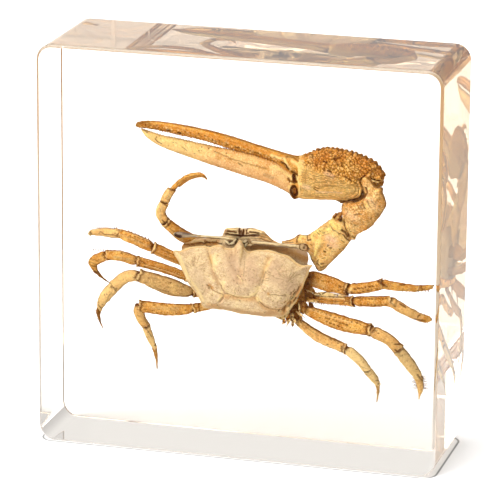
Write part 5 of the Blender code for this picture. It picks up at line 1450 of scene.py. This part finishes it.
def edge_spots(shell):
    """Brown spots and golden flecks over the fixed finger's lower half, where its grains have worn."""
    chance = random.Random(17)
    for _ in range(190):
        x = chance.uniform(-19.0, 6.5)
        z = np.interp(x, (-18.0, -8.0, -3.0, 5.0), (58.45, 57.0, 55.8, 54.0)) + chance.uniform(0.1, 1.0)
        kind, strongest = chance.choice((("dark", 0.6), ("deep", 1.0), ("deep", 1.0), ("pale", 0.9)))
        strength, radius = chance.uniform(0.4, strongest), chance.uniform(0.12, 0.22)
        shell.draw([(kind, strength, radius, (x, z), (x + 0.2, z))])


palm = plate(HAND, sides=210, fullness=0.75)
x, z = palm.places[..., 0], palm.places[..., 1]
# the grained upper half ends on a line that falls towards the heel
grain_line = 53.2 - 0.27 * (x - 9.5)
upper = smooth((z - grain_line) / 1.8) * smooth((x - 9.2) / 1.4)
palm.draw(HAND_STROKES)
grained(palm, 0.52, 0.26, 0.85, upper)
hand_creases(palm)
palm.mark("deep", 0.6 * smooth((palm.up - 0.75) / 0.2))
palm.mark("deep", 0.45 * smooth((x - 19.0) / 3.0) * upper)
palm.mark("pale", 0.35 * (1 - upper))
# a row of round bumps along the top
top_edge = smooth((palm.up - 0.9) / 0.08) * smooth((x - 11.0) / 1.5)
palm.raised(0.32 * top_edge * np.abs(np.sin(3.6 * x)) ** 1.3)
palm.blotch("deep", 0.8, 1.7, upper)
palm.blotch("pale", 0.6, 1.1, smooth((13.5 - x) / 4.0))
palm.roughen(0.8, 0.08)
fixed_finger = plate(FIXED_FINGER, sides=72, fullness=0.9, lower_teeth=0.12)
lower_band = smooth((0.05 - fixed_finger.up) / 0.25)
grained(fixed_finger, 0.42, 0.18, 0.5, lower_band)
fixed_finger.mark("deep", 0.5)
fixed_finger.mark("dark", 0.55 * smooth((fixed_finger.up - 0.62) / 0.34))
fixed_finger.draw(FIXED_FINGER_STROKES)
edge_spots(fixed_finger)
fixed_finger.roughen(0.5, 0.06)
# the hand's thick shell has dried to bright amber: golden between its grains, and brown round the foot of
# each, partly painted shade
dry_claw = dried_shell(
    "dried_claw_amber", "#EFB859", "#DF9A3C", glow=(0.5, "#FBDB86"), crease=(0.45, "#8E5022"),
    grain=(0.55, "#9A5A26"), fleck=(0.50, "#FFE79E"), deep=(0.85, "#C2701F"), grey=(0.9, "#EFC8AA"),
    pale=(0.95, "#FFE199"), dark=(0.97, "#461C06"),
)
crab_piece("big_claw_hand", [palm, fixed_finger, hinge_skin()], dry_claw, "shell_amber", "claw_hand")
hinged_finger = plate(FINGER, sides=90, fullness=0.9, upper_teeth=0.18)
hinged_finger.draw(FINGER_STROKES)
specked(hinged_finger, 34, 5, (-18.0, 7.0, 50.0, 57.4), 0.09)
hinged_finger.mark("pale", 0.45 * smooth((-5.0 - hinged_finger.places[..., 0]) / 7.0))
hinged_finger.mark("grey", 0.6 * smooth((0.1 - hinged_finger.up) / 0.4))
hinged_finger.roughen(0.6, 0.07)
# the hinged finger's thinner shell has dried to a smooth, light straw, pinkish below and nearly cream at
# its tip
dry_finger = dried_shell(
    "dried_finger_straw", "#EDC482", "#DFA764", glow=(0.4, "#FBE09A"), crease=(0.20, "#B8752E"),
    deep=(0.9, "#CE8430"), grey=(0.9, "#E8B47E"), pale=(0.95, "#FCE596"), grain=(0.50, "#B67634"),
    fleck=(0.45, "#FFEBB4"), dark=(0.97, "#56280E"),
)
crab_piece("big_claw_hinged_finger", [hinged_finger], dry_finger, "finger_straw", "claw_finger")
# the wrist's and the arm's shell has dried to a warm yellow, blotched and creased, with bright flecks of
# painted glint
dry_wrist = dried_shell(
    "dried_wrist_straw", "#F8CF88", "#EEB467", glow=(0.5, "#FFE18E"), crease=(0.50, "#96592A"),
    deep=(0.85, "#D58A36"), pale=(0.95, "#FFE58A"), grey=(0.9, "#F0C4A2"), grain=(0.46, "#A0652E"),
    fleck=(0.50, "#FFF0BC"), dark=(0.97, "#56260C"),
)
# the skin in the seam between the wrist and the hand's heel, marked dark as painted shade in the gap, as x,
# depth, height, half width and flatness
HEEL_SEAM = (
    (22.4, 1.9, 53.0, 0.4, 1.0), (21.0, 2.6, 52.2, 0.5, 1.0), (21.6, 3.0, 50.3, 0.6, 1.0),
    (20.9, 3.0, 48.6, 0.6, 1.0), (18.6, 3.0, 47.8, 0.4, 1.0), (17.0, 3.0, 47.7, 0.35, 1.0),
    (16.4, 3.0, 47.9, 0.2, 1.0),
)
heel_skin_and_gap_shade = tube(HEEL_SEAM, BLUNT, BLUNT, spacing=0.12)
# painted shade: the skin in the gap is dark all over
heel_skin_and_gap_shade.mark("dark", 0.85)
heel_skin_and_gap_shade.roughen(0.5, 0.2)
wrist = plate(WRIST, sides=130, fullness=0.8)
bumpy = smooth((wrist.places[..., 1] - 46.0) / 0.8) * smooth((22.0 - wrist.places[..., 0]) / 0.8)
wrist.blotch("deep", 0.6, 1.4)
wrist.draw(WRIST_STROKES, stain=0.4)
grained(wrist, 0.5, 0.12, 0.5, 0.55 + 0.45 * bumpy)
specked(wrist, 90, 9, (17.8, 25.2, 42.0, 49.5), 0.11)
wrist.roughen(0.8, 0.14)
crab_piece("big_claw_wrist", [wrist, heel_skin_and_gap_shade], dry_wrist, "shell_amber", "claw_wrist")
arm = plate(ARM, sides=130, fullness=0.8)
arm.blotch("deep", 0.5, 1.1)
arm.mark("deep", 0.4 * smooth((np.abs(arm.up) - 0.45) / 0.4))
arm.mark("pale", 0.15 * smooth((arm.places[..., 1] - 35.0) / 1.0))
arm.draw(ARM_STROKES, stain=0.4)
specked(arm, 60, 13, (11.5, 18.2, 35.5, 43.5), 0.10)
arm.roughen(0.9, 0.16)
arm.roughen(0.35, 0.04)
# a lump of torn brown skin, which stands up behind the arm's cream plate
ARM_SKIN = ((15.9, 2.0, 44.1, 0.3, 1.0), (16.6, 1.9, 44.9, 0.65, 1.0), (17.3, 2.0, 45.6, 0.4, 1.0))
arm_skin = tube(ARM_SKIN, BLUNT, BLUNT, spacing=0.1)
arm_skin.marks["pale"][:] = 0.0
arm_skin.mark("deep", 0.9)
arm_skin.mark("dark", 0.45)
arm_skin.roughen(0.35, 0.35)
arm_skin.draw((
    ("dark", 1.0, 0.2, (16.1, 44.7), (16.7, 45.4)), ("dark", 0.9, 0.16, (16.8, 44.5), (17.3, 45.1)),
    ("pale", 0.8, 0.18, (16.4, 44.5), (16.9, 45.0)),
))
crab_piece("big_claw_arm", [arm, arm_skin], dry_wrist, "shell_amber", "claw_arm")

# The small claw, on the left: a thin bent arm, a wrist, and a spoon-tipped hand with its hinged finger. Its
# parts are tubes of dried shell like the legs', each one's neck in the collar of the one before it.
SMALL_CLAW_FLATNESS = 0.85
# rows of x, depth, height and half width
SMALL_CLAW_ARM = (
    (-8.0, 2.8, 37.4, 0.9), (-10.4, 2.0, 38.2, 1.1), (-12.7, 1.0, 39.4, 1.2), (-15.3, -0.3, 41.7, 0.95),
)
SMALL_CLAW_WRIST = ((-15.5, -0.3, 41.7, 0.90), (-16.1, -0.6, 43.5, 0.96), (-15.5, -0.6, 45.3, 0.88))
SMALL_CLAW_PALM = ((-15.5, -0.6, 45.4, 0.88), (-14.9, -0.5, 46.6, 0.86), (-14.1, -0.5, 48.0, 0.78))
SMALL_CLAW_TIP = (
    (-13.9, -0.5, 48.0, 0.50), (-12.3, -0.8, 49.7, 0.42), (-10.5, -0.9, 50.9, 0.38),
    (-8.9, -0.9, 51.3, 0.34), (-7.9, -0.9, 51.1, 0.22), (-7.4, -0.8, 50.6, 0.08),
)
SMALL_CLAW_FINGER = (
    (-12.8, 0.5, 48.6, 0.36), (-11.8, 0.4, 49.5, 0.36), (-10.3, 0.25, 50.4, 0.36), (-8.8, 0.25, 50.8, 0.32),
    (-7.9, 0.2, 50.6, 0.22), (-7.5, 0.1, 50.2, 0.08),
)
SMALL_CLAW_STROKES = (
    # a cream outer rim and a grey-brown inner band, dark slots at the joints, and the black tips
    ("pale", 0.9, 0.35, (-16.7, 42.6), (-16.9, 43.8), (-16.3, 45.0)),
    ("grey", 0.9, 0.4, (-15.9, 42.4), (-16.1, 43.8), (-15.5, 45.0)),
    ("pale", 0.8, 0.3, (-15.6, 45.9), (-15.1, 47.0), (-14.4, 48.0)),
    ("grey", 0.8, 0.35, (-14.8, 46.0), (-14.3, 47.2)),
    ("dark", 0.9, 0.2, (-16.0, 45.6), (-15.3, 45.2), (-14.9, 45.0)),
    ("dark", 0.9, 0.2, (-14.7, 48.3), (-14.1, 48.0), (-13.5, 47.9)),
    ("dark", 0.9, 0.2, (-15.6, 42.2), (-15.3, 41.7)), ("dark", 0.9, 0.18, (-14.8, 41.9), (-14.6, 41.2)),
    ("deep", 0.9, 0.5, (-14.3, 47.9), (-13.0, 48.2)),
    ("dark", 0.4, 0.14, (-12.8, 49.3), (-11.2, 50.4), (-9.2, 51.1)),
    ("dark", 0.95, 0.3, (-7.9, 50.9), (-7.4, 50.4)), ("deep", 0.5, 0.6, (-13.6, 40.2), (-11.0, 38.8)),
    ("dark", 0.5, 0.13, (-14.4, 40.6), (-12.4, 39.0)), ("grey", 0.5, 0.4, (-14.4, 40.0), (-12.2, 38.4)),
)


def small_claw_tube(rows, start, end, sides=44, tint="pale"):
    """One part of the small claw, tinted a little all over."""
    shell = tube([(*row, SMALL_CLAW_FLATNESS) for row in rows], start, end, sides=sides)
    shell.mark(tint, 0.28)
    shell.draw(SMALL_CLAW_STROKES)
    shell.roughen(0.8, 0.07)
    return shell


forearm = small_claw_tube(SMALL_CLAW_ARM, NECK, COLLAR, tint="deep")
crab_piece("small_claw_forearm", [forearm], dry_amber, "leg_amber", "small_claw_arm")
bend = small_claw_tube(SMALL_CLAW_WRIST, CLOSE_NECK, SOCKET)
crab_piece("small_claw_bend", [bend], dry_amber, "leg_amber", "small_claw_wrist")
small_palm = small_claw_tube(SMALL_CLAW_PALM, CLOSE_NECK, SOCKET)
small_tip = small_claw_tube(SMALL_CLAW_TIP, NECK, POINT, sides=24, tint="deep")
crab_piece("small_claw_palm", [small_palm, small_tip], dry_amber, "leg_amber", "small_claw_hand")
small_finger = small_claw_tube(SMALL_CLAW_FINGER, NECK, POINT, sides=24, tint="deep")
crab_piece("small_claw_hinged_finger", [small_finger], dry_amber, "leg_amber", "small_claw_finger")

# The two long eyestalks, which lie folded into the sockets under the shield's front edge: pale horn tubes,
# each with its eye at the end, shrunk and dark.
EYESTALKS = {
    "right": (
        (1.0, -1.85, 39.4, 0.42, 1.0), (3.2, -1.85, 39.45, 0.34, 1.0), (7.0, -2.2, 39.45, 0.34, 1.0),
        (10.0, -2.3, 39.5, 0.42, 1.0), (11.1, -2.3, 39.5, 0.70, 1.0), (11.8, -2.3, 39.45, 0.56, 1.0),
    ),
    "left": (
        (-1.6, -1.7, 39.85, 0.28, 1.0), (-4.0, -1.75, 39.85, 0.26, 1.0), (-9.0, -2.1, 39.85, 0.28, 1.0),
        (-10.8, -2.1, 39.85, 0.46, 1.0), (-12.4, -2.1, 39.8, 0.58, 1.0), (-13.1, -2.1, 39.75, 0.44, 1.0),
    ),
}
# the stalks' thin horn has dried to a greyish cream, a little duller to the eye than the shield beside it
dry_stalk = dried_shell(
    "dried_eyestalk_horn", "#CDB486", "#B2946A", glow=(0.4, "#EBDCB0"), grain=(0.35, "#A08A62"),
    deep=(0.9, "#A9703C"), grey=(0.9, "#8D8378"), pale=(0.95, "#F4E6BC"), dark=(0.97, "#38190F"),
)
EYE_STROKES = {
    # the right stalk ends in a rim round its shrunk brown eye; painted highlight on top, painted grey shade
    # below
    "right": (
        ("dark", 0.8, 0.35, (11.35, 39.45)),
        ("dark", 0.7, 0.18, (11.35, 40.1), (11.9, 39.8), (12.0, 39.2), (11.5, 38.8), (10.9, 39.0)),
        ("dark", 0.8, 0.16, (10.6, 39.9), (10.45, 39.4), (10.7, 38.95)),
        ("grey", 0.7, 0.35, (2.0, 39.1), (6.0, 39.1), (10.0, 39.1)),
        ("pale", 0.9, 0.25, (1.6, 39.75), (6.0, 39.75), (9.6, 39.8)),
        ("dark", 0.5, 0.12, (1.4, 39.25), (6.0, 39.3), (9.8, 39.3)),
        ("deep", 0.9, 0.4, (11.4, 40.1), (12.0, 39.5), (11.5, 38.9)),
        ("relief", -0.3, 0.45, (11.35, 39.45)), ("dark", 0.7, 0.16, (1.1, 39.7), (1.4, 39.2)),
    ),
    # the left one is grey over its last third, with a purple-black eye
    "left": (
        ("dark", 1.0, 0.5, (-12.9, 39.75), (-12.0, 39.6)), ("grey", 1.0, 0.6, (-12.6, 40.1), (-10.2, 40.0)),
        ("grey", 0.8, 0.4, (-12.0, 39.5), (-9.0, 39.9)),
        ("pale", 1.0, 0.16, (-13.1, 40.2), (-13.3, 39.8), (-13.0, 39.4)),
        ("dark", 0.6, 0.14, (-11.6, 40.2), (-9.6, 40.15)),
        ("dark", 0.5, 0.12, (-8.6, 39.75), (-4.4, 39.65)), ("pale", 0.8, 0.2, (-8.0, 40.0), (-3.0, 39.95)),
    ),
}
for side, rows in EYESTALKS.items():
    stalk = tube(rows, NECK, BLUNT, spacing=0.12, sides=40)
    stalk.marks["pale"][:] = 0.0
    stalk.draw(EYE_STROKES[side])
    stalk.roughen(0.7, 0.06)
    crab_piece("eyestalk_and_eye_" + side, [stalk], dry_stalk, "eye_brown", "eyestalk_" + side)

# The feelers: two short chains of swollen joints, pale horn like the stalks, which lie folded in the hollow
# beside the shield's beak.
FEELER_DEPTH = -2.1
# each joint's two ends as x and height, its half width and its tint
FEELERS = (
    ((-3.4, 39.35), (-2.9, 39.0), 0.24, "pale"), ((-2.5, 38.95), (-2.0, 39.2), 0.27, "pale"),
    ((-1.9, 39.5), (-1.6, 39.9), 0.22, "pale"), ((0.0, 39.5), (0.3, 39.8), 0.26, "pale"),
    ((0.2, 38.8), (0.45, 39.1), 0.24, "pale"), ((0.9, 38.95), (1.25, 39.15), 0.32, "deep"),
)


def feeler(start, end, width, tint):
    """One swollen joint of a feeler."""
    step = np.subtract(end, start) / 2
    middle = np.add(start, end) / 2
    places = [middle + step * way for way in (-1, 0, 1)]
    rows = [(x, FEELER_DEPTH, z, width, 1.0) for x, z in places]
    shell = tube(rows, BLUNT, BLUNT, spacing=0.06, sides=18)
    shell.mark(tint, 0.6)
    # a dark outline of painted shade along both edges
    shell.mark("dark", 0.9 * np.abs(np.cos(shell.turns)) ** 5)
    return shell


feelers = [feeler(*row) for row in FEELERS]
crab_piece("folded_feelers", feelers, dry_stalk, "eye_brown")
